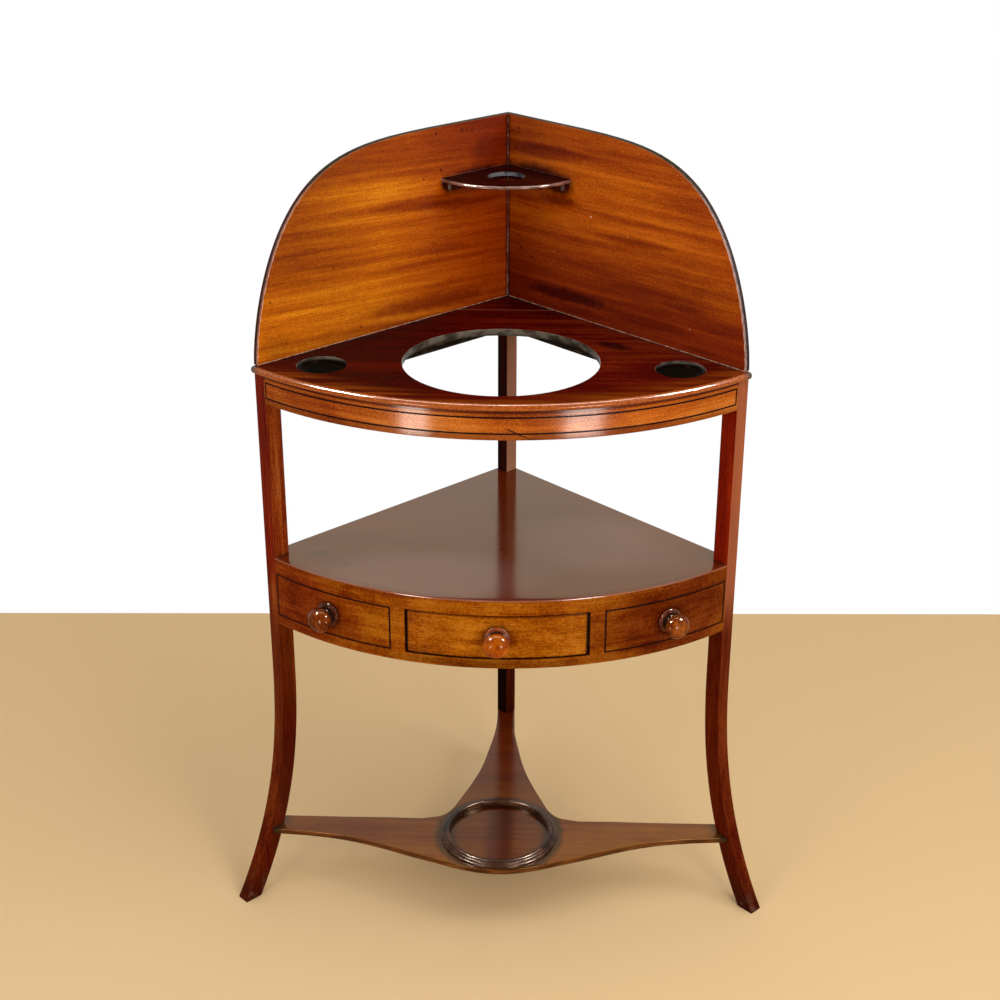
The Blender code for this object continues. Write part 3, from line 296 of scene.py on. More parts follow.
def mahogany(coat, tones, **look):
    """Polished mahogany: ribbons, streaks, threads and pores in three tones, wear, grime and painted shade.
    """
    say = dict(WOOD, **look)
    shift = coat.centred(coat.noise(coat.grain, (3.0, 9.0, 9.0), 1.0), say["wander"])
    grain = coat.vector("ADD", coat.grain, coat.joined(0.0, shift))
    tone = 0.5
    for part in ("ribbon", "streak", "thread", "cloud", "mottle"):
        if say[part]:
            drawn = coat.noise(grain, say[part + "_size"], 3.0, 0.55)
            tone = coat.math("ADD", tone, coat.centred(drawn, say[part]))
    dark, middle, light = tones
    coat.colour = coat.ramp(tone, ((0.28, dark), (0.50, middle), (0.72, light)))
    pores = coat.limits(coat.noise(grain, say["pore_size"], 2.0, 0.6), 0.56, 0.72)
    coat.cover(tuple(c * 0.35 for c in dark), pores, say["pore"])
    if say["wear"]:
        worn = coat.limits(coat.cells(60), 0.40, 0.62, 0.25, 1.0)
        mask = coat.times(edge_mask(coat, say["wear_radius"]), worn, say["wear"])
        coat.cover(say["wear_colour"], mask)
    # Grime and painted shade: darker wherever ambient occlusion finds a crevice or a nook between parts.
    if say["grime"]:
        open_air = coat.add("AmbientOcclusion", {"Distance": say["grime_reach"]}, samples=6)
        held = coat.limits(open_air.outputs["AO"], 0.85, 0.30)
        coat.cover(GRIME_AND_SHADE_COLOUR, held, say["grime"])
    height = coat.math("SUBTRACT", coat.times(tone, 0.4), pores)
    bump = coat.add("Bump", {"Height": height, "Strength": say["bump"], "Distance": BUMP_DEPTH})
    surface = coat.surface.inputs
    rough = coat.centred(tone, -say["roughness_change"])
    coat.put(surface["Roughness"], coat.math("ADD", rough, say["roughness"]))
    coat.put(surface["Normal"], bump.outputs["Normal"])
    surface["Specular IOR Level"].default_value = say["specular"]
    surface["Specular Tint"].default_value = (*say["specular_tint"], 1)


def flat_board(name, tones, offset, along=X_AXIS, across=Y_AXIS, tilt=0.0, **look):
    """A coat with the wood of a flat board, its grain along one axis."""
    coat = Coat(name)
    coat.grain = straight_grain(coat, along, across, offset, tilt)
    mahogany(coat, tones, **look)
    return coat


def behind(wall):
    """The level direction that a board along a wall turns its back to."""
    return Vector((wall.x, -wall.y, 0))


def unpolished_back(coat, outward, limit=0.6):
    """Dry, dull wood on the side of a board that stood against the wall."""
    mask = coat.limits(coat.vector("DOT_PRODUCT", coat.facing(), outward), limit, limit + 0.1)
    saw = coat.noise(coat.place, (90, 90, 25))
    coat.cover(coat.mix(saw, (0.085, 0.040, 0.020), (0.170, 0.090, 0.048)), mask)


def splash_finish(side, tones, tilt, offset, near, dirt):
    """A splashback: redder and darker to the corner, top and foot; old marks, dirt, painted shade and
    highlight.
    """
    wall = WALLS[side]
    outward = behind(wall)
    coat = flat_board(
        f"splashback_{side}_mahogany", tones, offset, wall, Z_AXIS, tilt, ribbon=0.5, streak=0.9,
        streak_size=(4.0, 95, 95), thread=0.35, thread_size=(24, 420, 420), cloud=0.4, wander=0.003,
        mottle=0.75, mottle_size=(480, 760, 760), pore=0.55, pore_size=(160, 900, 900), roughness=0.42,
        specular=0.02, grime=0.5, grime_reach=0.012,
    )
    away = coat.vector("SUBTRACT", coat.place, (0, CORNER_Y, BOARD_TOP_Z))
    along = coat.vector("DOT_PRODUCT", away, wall)
    lift = coat.parts(away)["Z"]
    (age_left if side == "left" else age_right)(coat, along, lift, tilt)
    across = coat.math("ABSOLUTE", coat.parts(coat.place)["X"])
    dust = coat.cells(170)
    broken = coat.limits(dust, 0.36, 0.58, 0.15, 1.0)
    # Painted shade in the inside corner, darker within a few millimetres of the seam.
    coat.stain((0.30, 0.16, 0.16), coat.limits(across, 0.0042, 0.0014), 0.75)
    gaps = coat.limits(coat.cells(70), 0.42, 0.56, 0.12, 1.0)
    seam = coat.times(coat.limits(across, 0.0007, 0.0015, 0.85, 0.0), broken, gaps)
    coat.cover((0.26, 0.17, 0.13), seam)
    coat.cover((0.62, 0.40, 0.26), coat.limits(lift, 0.0021, 0.0010), broken)
    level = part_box("soap_shelf")[1].z - BOARD_TOP_Z
    meeting = coat.between(lift, level - 0.0003, level + 0.0004, 0.0005)
    meeting = coat.times(meeting, coat.limits(along, 0.110, 0.118, 0.7, 0.0), broken)
    coat.cover((0.34, 0.13, 0.07), meeting)
    facing = coat.facing()
    flat = coat.math("ABSOLUTE", coat.vector("DOT_PRODUCT", facing, outward))
    upper = coat.limits(lift, 0.190, 0.245)
    depth = coat.vector("DOT_PRODUCT", away, outward)
    rim = coat.mix(coat.limits(depth, 0.0022, 0.0042), near, dirt)
    rim = coat.mix(upper, rim, (0.045, 0.030, 0.012))
    dusty = coat.times(coat.limits(dust, 0.40, 0.60), 0.6)
    coat.cover(coat.mix(dusty, rim, (0.3, 0.25, 0.25), "MULTIPLY"), coat.limits(flat, 0.45, 0.10))
    # Painted highlight along the front arris: pale low down, darker towards the top, broken here and there.
    arris = coat.between(coat.vector("DOT_PRODUCT", facing, -outward), 0.55, 0.93, 0.06)
    pale = coat.mix(upper, (0.80, 0.52, 0.42), (0.16, 0.10, 0.04))
    coat.cover(pale, arris, coat.limits(broken, 0.0, 1.0, 0.55, 0.95))
    unpolished_back(coat, outward)
    return coat.painted()


def wall_specks(coat, side, places, colour, strength=1.0):
    """Specks on a splashback at (along, lift, radius) places."""
    corner = Vector((0, CORNER_Y, BOARD_TOP_Z))
    points = [(corner + WALLS[side] * along + Z_AXIS * lift, radius) for along, lift, radius in places]
    coat.cover(colour, specks(coat, points), strength)


def age_left(coat, along, lift, tilt):
    """Old wear of the left splashback, and painted shadow under the soap shelf."""
    coat.stain((0.60, 0.28, 0.5), coat.limits(along, 0.31, 0.02))
    coat.stain((0.55, 0.32, 0.5), coat.limits(lift, 0.205, 0.232), 0.75)
    coat.stain((0.60, 0.50, 0.5), coat.limits(along, 0.20, 0.37), coat.limits(lift, 0.03, 0.13))
    marks = (
        ((0.245, 0.196), (0.15, 0.016), 0.75, (1.22, 1.45, 1.3)),
        ((0.175, 0.164), (0.11, 0.013), 0.8, (0.62, 0.42, 0.5)),
        ((0.145, 0.022), (0.15, 0.016), 0.9, (0.48, 0.28, 0.4)),
        ((0.28, 0.008), (0.16, 0.012), 0.8, (0.62, 0.45, 0.5)),
        ((0.36, 0.060), (0.10, 0.016), 0.7, (1.16, 1.25, 1.2)),
        ((0.41, 0.020), (0.04, 0.020), 0.6, (0.62, 0.62, 0.8)),
        # The next two marks are painted shadow under the soap shelf and its bearers.
        ((0.045, 0.182), (0.075, 0.022), 1.0, (0.20, 0.07, 0.2)),
        ((0.105, 0.180), (0.026, 0.014), 1.0, (0.06, 0.03, 0.1)),
        ((0.03, 0.215), (0.05, 0.030), 0.8, (0.50, 0.30, 0.4)),
        ((0.09, 0.150), (0.10, 0.012), 0.7, (0.50, 0.28, 0.4)),
    )
    ovals(coat, along, lift, marks, tilt)
    dark = (
        (0.0857, 0.2514, 0.0022), (0.0675, 0.2475, 0.0018), (0.0760, 0.2500, 0.0014),
        (0.1323, 0.2528, 0.0018), (0.1243, 0.2031, 0.0026), (0.1547, 0.1958, 0.0016),
        (0.1500, 0.1985, 0.0010), (0.2363, 0.1369, 0.0009), (0.2403, 0.1227, 0.0015),
        (0.3130, 0.1059, 0.0017), (0.4155, 0.0792, 0.0018), (0.2703, 0.0141, 0.0018),
    )
    wall_specks(coat, "left", dark, (0.035, 0.004, 0.001), 0.85)


def age_right(coat, along, lift, tilt):
    """Old wear of the right splashback, and painted shadow under the soap shelf."""
    coat.stain((0.55, 0.38, 0.5), coat.limits(along, 0.13, 0.02), 0.6)
    coat.stain((0.46, 0.22, 0.4), coat.limits(lift, 0.150, 0.018))
    coat.stain((0.62, 0.42, 0.5), coat.limits(lift, 0.212, 0.240), 0.6)
    marks = (
        ((0.21, 0.192), (0.13, 0.014), 0.85, (1.35, 1.75, 1.6)),
        ((0.075, 0.222), (0.11, 0.014), 0.8, (0.50, 0.25, 0.4)),
        ((0.12, 0.028), (0.11, 0.013), 1.0, (0.28, 0.10, 0.3)),
        ((0.27, 0.026), (0.12, 0.010), 0.8, (0.50, 0.28, 0.4)),
        ((0.18, 0.006), (0.15, 0.008), 0.6, (0.60, 0.40, 0.5)),
        ((0.24, 0.128), (0.08, 0.008), 0.7, (0.60, 0.45, 0.5)),
        ((0.33, 0.060), (0.05, 0.008), 0.7, (0.55, 0.38, 0.5)),
        ((0.40, 0.085), (0.05, 0.026), 0.7, (1.25, 1.60, 1.4)),
        # The next two marks are painted shadow under the soap shelf and its bearers.
        ((0.055, 0.185), (0.080, 0.022), 1.0, (0.16, 0.05, 0.2)),
        ((0.104, 0.178), (0.030, 0.015), 1.0, (0.05, 0.02, 0.1)),
        ((0.10, 0.160), (0.05, 0.010), 0.8, (0.35, 0.16, 0.3)),
    )
    ovals(coat, along, lift, marks, tilt)
    dark = (
        (0.0274, 0.0781, 0.0022), (0.0499, 0.0683, 0.0024), (0.0430, 0.0700, 0.0016), (0.020, 0.2450, 0.0018),
    )
    wall_specks(coat, "right", dark, (0.030, 0.004, 0.001), 0.85)
    pale = (
        (0.1629, 0.1477, 0.0008), (0.2313, 0.1340, 0.0004), (0.0935, 0.0861, 0.0004), (0.345, 0.034, 0.0005),
    )
    wall_specks(coat, "right", pale, (0.80, 0.62, 0.40))


def top_finish(name, roughness=0.25, specular=0.018, specular_tint=(1.0, 0.40, 0.40)):
    """The top: dark red, orange along its nose, dusty in its holes, with painted shade and glints."""
    coat = flat_board(
        name, TOP_TONES, TOP_OFFSET, streak=0.6, thread=0.4, cloud=1.0, mottle=0.5,
        mottle_size=(300, 500, 500), roughness=roughness, roughness_change=0.03, specular=specular,
        specular_tint=specular_tint, bump=0.03, grime=0.85, grime_reach=0.006,
    )
    parts = coat.parts(coat.place)
    reach, arc = bow_reach(coat)
    coat.stain((1.40, 2.6, 1.4), coat.limits(parts["X"], -0.02, 0.16))
    coat.stain((0.60, 0.15, 0.5), coat.limits(parts["X"], -0.02, -0.14))
    warm = coat.noise(coat.grain, (6, 90, 90))
    front = coat.limits(reach, BOW_RADIUS - 0.042, BOW_RADIUS - 0.003)
    front = coat.times(front, coat.limits(warm, 0.35, 0.60, 0.35, 1.0))
    streaked = coat.mix(coat.limits(warm, 0.35, 0.65), (0.085, 0.005, 0.0006), (0.195, 0.034, 0.002))
    coat.cover(streaked, front)
    backward = coat.math("ADD", parts["Y"], REAR_JOINT - CORNER_Y)
    joint = coat.limits(coat.math("ABSOLUTE", backward), 0.0004, 0.0011, 0.6, 0.0)
    coat.cover((0.32, 0.15, 0.10), joint, coat.limits(warm, 0.35, 0.50))
    blot = patch(coat, parts["X"], parts["Y"], (0.148, CORNER_Y - 0.214), (0.036, 0.016), -0.6)
    coat.cover((0.022, 0.001, 0.001), blot, 0.9)
    inside = coat.limits(reach, BOW_RADIUS - 0.001, BOW_RADIUS - 0.004)
    dust = coat.noise(coat.place, (45, 45, 90))
    wall = coat.mix(coat.limits(dust, 0.35, 0.65), (0.030, 0.026, 0.020), (0.120, 0.105, 0.082))
    # Painted shade: the hole walls darker lower down, and nearly black deep in the beaker holes.
    lower = coat.limits(parts["Z"], BOARD_TOP_Z - 0.0045, BOARD_TOP_Z - 0.0105)
    wall = coat.mix(lower, wall, (0.45, 0.45, 0.45), "MULTIPLY")
    beaker = coat.limits(coat.math("ABSOLUTE", parts["X"]), 0.150, 0.160)
    deep = coat.limits(parts["Z"], BOARD_TOP_Z - 0.0020, BOARD_TOP_Z - 0.0050)
    wall = coat.mix(coat.times(beaker, deep), wall, (0.006, 0.003, 0.002))
    upward = coat.parts(coat.facing())["Z"]
    coat.cover(wall, coat.limits(upward, 0.90, 0.55), inside)
    # Painted glints on the hole rims, broken up.
    rims = coat.times(coat.between(upward, 0.35, 0.93, 0.05), inside)
    coat.cover((0.62, 0.54, 0.46), rims, coat.limits(dust, 0.42, 0.58, 0.2, 0.9))
    nose = coat.limits(reach, BOW_RADIUS + 0.0012, BOW_RADIUS + 0.0028)
    ear = coat.limits(coat.math("ABSOLUTE", arc), 0.330, 0.348)
    worn = coat.noise(coat.place, (300, 300, 500), 2.0)
    orange = coat.mix(coat.limits(worn, 0.30, 0.70), (0.25, 0.040, 0.003), (0.43, 0.102, 0.010))
    orange = coat.mix(ear, orange, (0.045, 0.038, 0.018))
    # Painted shade on the nose where it turns down, and on faces turned further down.
    under = coat.limits(upward, -0.80, -0.45, 0.88, 0.0)
    coat.cover(coat.mix(under, orange, (0.10, 0.05, 0.05), "MULTIPLY"), nose)
    coat.cover((0.060, 0.030, 0.018), coat.limits(upward, -0.6, -0.9))
    return coat.painted()


def shelf_finish(name, tones, offset):
    """The polished middle shelf, with a few dull rubs near its ends and two pale patches of painted sheen."""
    coat = flat_board(
        name, tones, offset, ribbon=0.5, streak=0.4, cloud=0.9, thread=0.3, mottle=0.3,
        mottle_size=(200, 500, 500), pore=0.1, roughness=0.11, roughness_change=0.05, specular=0.68,
        specular_tint=(1.0, 0.84, 0.20), bump=0.03,
    )
    parts = coat.parts(coat.place)
    dull = (0.45, 0.35, 0.5)
    rubs = (
        ((-0.244, CORNER_Y - 0.301), (0.020, 0.010), 0.8, dull, 0.3),
        ((-0.206, CORNER_Y - 0.336), (0.016, 0.008), 0.8, dull, 0.2),
        ((0.289, CORNER_Y - 0.291), (0.014, 0.006), 0.8, dull, -0.2),
    )
    ovals(coat, parts["X"], parts["Y"], rubs, ragged=1.0)
    # Two pale patches of painted sheen, where the polish looks lit.
    painted_sheens = (
        ((-0.10, CORNER_Y - 0.37), (0.20, 0.10), 0.4, 0.17),
        ((0.13, CORNER_Y - 0.26), (0.14, 0.12), 0.5, 0.13),
    )
    for centre, radii, ragged, strength in painted_sheens:
        painted_sheen = patch(coat, parts["X"], parts["Y"], centre, radii, 0.0, ragged)
        coat.cover((0.48, 0.29, 0.26), painted_sheen, strength)
    return coat.painted()


def bow_arc(x):
    """Arc length along the bow at a place across it."""
    return math.asin(x / BOW_RADIUS) * BOW_RADIUS


def bow_point(angle, height, reach=BOW_RADIUS):
    """The point at an angle round the bow's centre, at a height and a reach."""
    return Vector((reach * math.sin(angle), BOW_CENTRE_Y - reach * math.cos(angle), height))


def knob_centre(node):
    """Mean of a knob's vertices, on its axis, and the angle round the bow at which it stands."""
    points = [vertex.co for vertex in NODES[node].data.vertices]
    centre = sum(points, Vector()) / len(points)
    return centre, math.atan2(centre.x, BOW_CENTRE_Y - centre.y)


def frame_line(coat, arc, height, node):
    """1 on the loop of black line that a stringing node draws on the bow, and just beside it."""
    low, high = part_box(node)
    beyond = []
    for value, start, end in ((arc, bow_arc(low.x), bow_arc(high.x)), (height, low.z, high.z)):
        away = coat.math("ABSOLUTE", coat.math("SUBTRACT", value, (start + end) / 2))
        beyond.append(coat.math("SUBTRACT", away, (end - start) / 2 - STRING_WIDTH / 2))
    away = coat.math("ABSOLUTE", coat.math("MAXIMUM", *beyond))
    return coat.limits(away, STRING_WIDTH * 1.3, STRING_WIDTH * 0.5)


def front_finish(name, tones, offset, marks=(), dots=(), knobs=(), strings=(), **look):
    """A bowed front with its grain along the bow, stains and specks at (arc, height) places, and painted
    shade.
    """
    coat = Coat(name)
    reach, arc = bow_reach(coat)
    height = coat.parts(coat.place)["Z"]
    coat.grain = coat.vector("ADD", coat.joined(arc, height, reach), offset)
    mahogany(coat, tones, **look)
    # Painted shade round each knob.
    for knob in knobs:
        centre, angle = knob_centre(knob)
        place = (angle * BOW_RADIUS, centre.z)
        shades = [(place, (size, size), strength, (0.42, 0.20, 0.2))
                  for size, strength in ((0.030, 0.75), (0.0215, 0.85))]
        ovals(coat, arc, height, shades, ragged=0.5)
    ovals(coat, arc, height, marks)
    for node in strings:
        coat.stain((0.10, 0.05, 0.05), frame_line(coat, arc, height, node), 0.9)
    if dots:
        points = [(bow_point(along / BOW_RADIUS, rise), radius) for along, rise, radius in dots]
        coat.cover((0.020, 0.003, 0.001), specks(coat, points))
    # Painted shade: faces turned towards the bow's centre are nearly black.
    level = coat.vector("MULTIPLY", coat.vector("SUBTRACT", coat.place, (0, BOW_CENTRE_Y, 0)), LEVEL)
    turn = coat.vector("DOT_PRODUCT", coat.facing(), coat.vector("NORMALIZE", level))
    coat.cover((0.022, 0.011, 0.006), coat.limits(turn, -0.5, -0.8))
    return coat.painted()


def leg_finish(name, tones, offset):
    """A front leg: painted paler on its lit side and darker below the shelf as shade; darker and dusty at the
    foot.
    """
    coat = flat_board(
        name, tones, offset, Z_AXIS, X_AXIS, ribbon=0.6, streak=0.7, mottle=0.5, mottle_size=(260, 420, 420),
        specular=0.03, specular_tint=(1.0, 0.60, 0.30), wear=0.8, wear_colour=(0.42, 0.20, 0.12),
        wear_radius=0.0010, grime=0.8, grime_reach=0.007,
    )
    height = coat.parts(coat.place)["Z"]
    side = coat.parts(coat.facing())["X"]
    left = name.startswith("front_leg_left")
    # Painted light and shade: the faces turned towards the middle of the stand are shaded, the others lit.
    shaded = coat.limits(side, 0.1, 0.4) if left else coat.limits(side, -0.1, -0.4)
    lit = coat.math("SUBTRACT", 1.0, shaded)
    upper = coat.limits(height, 0.46, 0.52)
    if left:
        inner = coat.times(coat.limits(side, 0.3, 0.6), coat.between(height, 0.33, 0.46, 0.05))
        coat.stain((1.50, 2.3, 1.5), inner)
        coat.stain((0.85, 0.28, 0.2), lit, upper)
    else:
        # Painted light: a paler outer face on the right leg.
        pale = coat.times(coat.limits(side, 0.2, 0.5), coat.limits(height, 0.40, 0.50), 0.55)
        coat.cover((0.40, 0.13, 0.060), pale)
        coat.stain((0.92, 0.25, 0.15), shaded, upper)
    # Painted shade below the shelf, streaked on the shaded faces, with the lit faces painted lighter there.
    lower = coat.limits(height, 0.50, 0.40)
    coat.stain((0.50, 0.32, 0.3), lower)
    black = coat.limits(coat.noise(coat.grain, (5, 150, 150)), 0.47, 0.58)
    coat.stain((0.36, 0.20, 0.2), shaded, lower, black, 0.65)
    coat.stain((1.12, 1.25, 1.0), lit, lower)
    # Darker and dusty at the foot.
    coat.stain((0.40, 0.35, 0.4), coat.limits(height, 0.060, 0.0), 0.8)
    dust = coat.limits(coat.cells(80, 4.0, 0.6), 0.50, 0.68)
    coat.cover((0.20, 0.13, 0.09), coat.limits(height, 0.050, 0.0), dust, 0.3)
    return coat.painted()


def soap_finish(name, specular):
    """The soap shelf: nearly black on top, with a pale worn bead and a hole with dust and a painted bluish
    highlight.
    """
    coat = flat_board(name, SOAP_TONES, SOAP_OFFSET, roughness=0.16, specular=specular, grime=0.5,
                        grime_reach=0.006)
    facing = coat.parts(coat.facing())
    bead = coat.between(facing["Z"], -0.45, 0.88, 0.08)
    rub = coat.cells(60)
    worn = coat.mix(coat.limits(rub, 0.38, 0.62), (0.12, 0.048, 0.034), (0.27, 0.130, 0.100))
    coat.cover(worn, bead, coat.limits(facing["Y"], -0.05, -0.25))
    # Dust and a painted bluish highlight on the walls of the hole.
    level = coat.vector("MULTIPLY", coat.place, LEVEL)
    away = coat.vector("DISTANCE", level, (0, CORNER_Y - SOAP_HOLE_SETBACK, 0))
    dust = coat.mix(coat.limits(rub, 0.40, 0.60), (0.030, 0.034, 0.040), (0.130, 0.140, 0.150))
    coat.cover(dust, bead, coat.limits(away, 0.031, 0.028))
    return coat.painted()


def stretcher_finish(name, tones, offset):
    """The low platform: redder on its back arm, darker round and inside the ring, black at its front ends."""
    coat = flat_board(
        name, tones, offset, ribbon=0.6, streak=0.4, thread=0.5, cloud=0.9, pore=0.15, roughness=0.17,
        roughness_change=0.04, specular=0.38, specular_tint=(1.0, 0.64, 0.22), bump=0.03, wear=0.9,
        wear_colour=(0.45, 0.19, 0.07), wear_radius=0.0011, grime_reach=0.012,
    )
    parts = coat.parts(coat.place)
    sideways = coat.math("ABSOLUTE", parts["X"])
    coat.stain((0.55, 0.25, 0.10), coat.limits(parts["Y"], CORNER_Y - 0.27, CORNER_Y - 0.19))
    low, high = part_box("ewer_ring")
    middle = (low + high) / 2
    level = coat.vector("MULTIPLY", coat.place, LEVEL)
    away = coat.vector("DISTANCE", level, (middle.x, middle.y, 0))
    outer = high.x - middle.x
    hole = outer - RING_WIDTH
    reach = coat.math("ADD", away, coat.centred(coat.cells(70), 0.012))
    coat.stain((0.16, 0.16, 0.22), coat.between(reach, hole - 0.002, outer + 0.004, 0.010), 0.85)
    inside = coat.limits(away, hole, hole - 0.006)
    coat.stain((0.62, 0.42, 0.30), inside, 0.9)
    # Painted reflection of the corner post: a dark streak down the middle inside the ring.
    streak = coat.limits(sideways, 0.026, 0.010)
    coat.stain((0.55, 0.25, 0.2), streak, inside, 0.9)
    edge = coat.limits(coat.parts(coat.facing())["Z"], 0.7, 0.3)
    broken = coat.limits(coat.noise(coat.place, (28, 28, 240), 4.0), 0.42, 0.66)
    coat.cover(coat.mix(broken, (0.030, 0.006, 0.002), (0.150, 0.040, 0.008)), edge, 0.9)
    coat.cover((0.006, 0.003, 0.003), coat.limits(sideways, 0.296, 0.322), 0.9)
    return coat.painted()


def back_post_finish(name, tones, offset):
    """The corner post: nearly black left face, painted shade; pink-brown right, a painted reflection; dry on
    its back.
    """
    coat = flat_board(name, tones, offset, Z_AXIS, X_AXIS, roughness=0.45, specular=0.01, grime=0.7,
                        grime_reach=0.006)
    facing = coat.parts(coat.facing())
    inward = coat.limits(facing["Y"], 0.1, -0.1)
    # Painted shade below the shelf.
    low = coat.limits(coat.parts(coat.place)["Z"], 0.46, 0.40)
    coat.stain((0.28, 0.20, 0.2), low)
    # Painted reflection: a pink-brown right face above the shelf.
    right = coat.times(coat.limits(facing["X"], 0.1, 0.4), inward, coat.math("SUBTRACT", 1.0, low))
    coat.cover((0.260, 0.115, 0.070), right)
    # Painted shade: the left face nearly black.
    coat.stain((0.09, 0.04, 0.05), coat.limits(facing["X"], -0.1, -0.4), inward)
    unpolished_back(coat, (0, 1, 0), 0.3)
    return coat.painted()


def wall_rail_finish(side, tones, offset):
    """A rail along a wall, nearly black at its ends and dry on its back."""
    wall = WALLS[side]
    coat = flat_board(f"rail_{side}_mahogany", tones, offset, wall, Z_AXIS, roughness=0.5, specular=0.05,
                        mottle=1.0)
    sideways = coat.math("ABSOLUTE", coat.parts(coat.place)["X"])
    coat.stain((0.10, 0.06, 0.06), coat.limits(sideways, 0.17, 0.21))
    unpolished_back(coat, behind(wall))
    return coat.painted()


def lining_finish(name, along, offset):
    """Pale secondary wood of the drawer and of what carries it."""
    tones = ((0.20, 0.110, 0.050), (0.34, 0.205, 0.100), (0.46, 0.300, 0.160))
    return flat_board(name, tones, offset, along, Z_AXIS, roughness=0.62, specular=0.25, bump=0.4,
                      grime=0.4).painted()


def stringing_finish(name):
    """Black stained line, with the polish worn through in places."""
    coat = Coat(name)
    rub = coat.cells(90)
    coat.colour = coat.mix(coat.limits(rub, 0.60, 0.72), (0.008, 0.001, 0.001), (0.045, 0.007, 0.002))
    surface = coat.surface.inputs
    coat.put(surface["Roughness"], coat.limits(rub, 0.3, 0.7, 0.30, 0.45))
    surface["Specular IOR Level"].default_value = 0.04
    return coat.painted()


def knob_finish(name, tones, offset, seat, outward):
    """A turned knob: dark in its hollow, pale and worn on its rim."""
    coat = flat_board(
        name, tones, offset, Z_AXIS, X_AXIS, ribbon=0.4, streak=0.5, thread=0.4, cloud=1.3, mottle=0.5,
        pore=0.1, ribbon_size=(20, 120, 120), cloud_size=(45, 45, 45), mottle_size=(220, 420, 420),
        roughness=0.10, roughness_change=0.02, specular=0.15, specular_tint=(1.0, 0.78, 0.55), grime=0.92,
        grime_reach=0.006, bump=0.04,
    )
    reach = coat.vector("DOT_PRODUCT", coat.vector("SUBTRACT", coat.place, seat), outward)
    flange = coat.limits(reach, KNOB_FLANGE_DEPTH * 1.3, KNOB_FLANGE_DEPTH * 0.9)
    patchy = coat.limits(coat.cells(160), 0.40, 0.60, 0.15, 0.75)
    coat.cover((0.19, 0.070, 0.042), flange, patchy)
    coat.stain((0.60, 0.45, 0.5), flange, 0.7)
    neck = coat.between(reach, KNOB_FLANGE_DEPTH, KNOB_FLANGE_DEPTH + KNOB_NECK_DEPTH, 0.0012)
    coat.cover((0.012, 0.004, 0.003), neck, 0.85)
    return coat.painted()


def soften(node, limit=math.radians(40)):
    """Smooth shading across faces that meet at less than a limit, weighted by their areas."""
    mesh = node.data
    places = {}
    normals = [face.normal.copy() for face in mesh.polygons]
    corners = []
    for face in mesh.polygons:
        points = [mesh.vertices[i].co for i in face.vertices]
        for turn, loop in enumerate(face.loop_indices):
            point = points[turn]
            before = (points[turn - 1] - point).normalized()
            after = (points[(turn + 1) % len(points)] - point).normalized()
            weight = face.area * before.angle(after, 0)
            key = tuple(round(c * 100000) for c in point)
            places.setdefault(key, []).append((face.index, weight))
            corners.append((loop, face.index, key))
    closeness = math.cos(limit)
    made = [Z_AXIS] * len(mesh.loops)
    for loop, face, key in corners:
        total = Vector((0, 0, 0))
        for other, weight in places[key]:
            if normals[face].dot(normals[other]) > closeness:
                total += normals[other] * weight
        made[loop] = total.normalized() if total.length > 0 else normals[face]
    mesh.polygons.foreach_set("use_smooth", [True] * len(mesh.polygons))
    mesh.normals_split_custom_set(made)


def give(names, material):
    """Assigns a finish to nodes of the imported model."""
    for name in names:
        slots = NODES[name].data.materials
        for i in range(len(slots)):
            slots[i] = material


def piece(name, shape, material, body):
    """A visual piece from a bmesh, riding on a body."""
    mesh = bpy.data.meshes.new(name)
    shape.to_mesh(mesh)
    shape.free()
    mesh.materials.append(material)
    mesh.shade_smooth()
    made = bpy.data.objects.new(name, mesh)
    bpy.context.scene.collection.objects.link(made)
    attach(made, body)
    return made


def refined(node, name, finishes, choose, rim, softened):
    """A copy of a packed board with some edges rounded, and one of the finishes chosen for each face."""
    shape = bmesh.new()
    shape.from_mesh(NODES[node].data)
    bmesh.ops.remove_doubles(shape, verts=shape.verts, dist=0.00001)
    bmesh.ops.dissolve_limit(shape, angle_limit=math.radians(0.3), verts=shape.verts, edges=shape.edges)
    sharp = [edge for edge in shape.edges if edge.calc_face_angle(0) > math.radians(50)]
    sharp = [edge for edge in sharp if softened((edge.verts[0].co + edge.verts[1].co) / 2)]
    bmesh.ops.bevel(shape, geom=sharp, offset=rim, segments=4, profile=0.5, affect="EDGES",
                    clamp_overlap=True)
    bmesh.ops.triangulate(shape, faces=shape.faces)
    bmesh.ops.recalc_face_normals(shape, faces=shape.faces)
    for face in shape.faces:
        face.material_index = choose(face)
    made = piece(name, shape, finishes[0], "stand")
    for finish in finishes[1:]:
        made.data.materials.append(finish)
    soften(made)
    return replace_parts(made, node)


def turned_shape(profile, steps, place, closed=False):
    """A form turned round the Z axis of a place, from (radius, height) points in order."""
    shape = bmesh.new()
    rings = []
    for radius, height in profile:
        turns = [2 * math.pi * i / steps for i in range(steps if radius else 1)]
        points = [Vector((radius * math.cos(turn), radius * math.sin(turn), height)) for turn in turns]
        rings.append([shape.verts.new(place @ point) for point in points])
    following = rings[1:] + rings[:1] if closed else rings[1:]
    for low, high in zip(rings, following):
        for i in range(steps):
            j = (i + 1) % steps
            if len(low) == 1:
                shape.faces.new((low[0], high[i], high[j])[::-1])
            elif len(high) == 1:
                shape.faces.new((low[i], low[j], high[0]))
            else:
                shape.faces.new((low[i], low[j], high[j], high[i]))
    bmesh.ops.recalc_face_normals(shape, faces=shape.faces)
    return shape


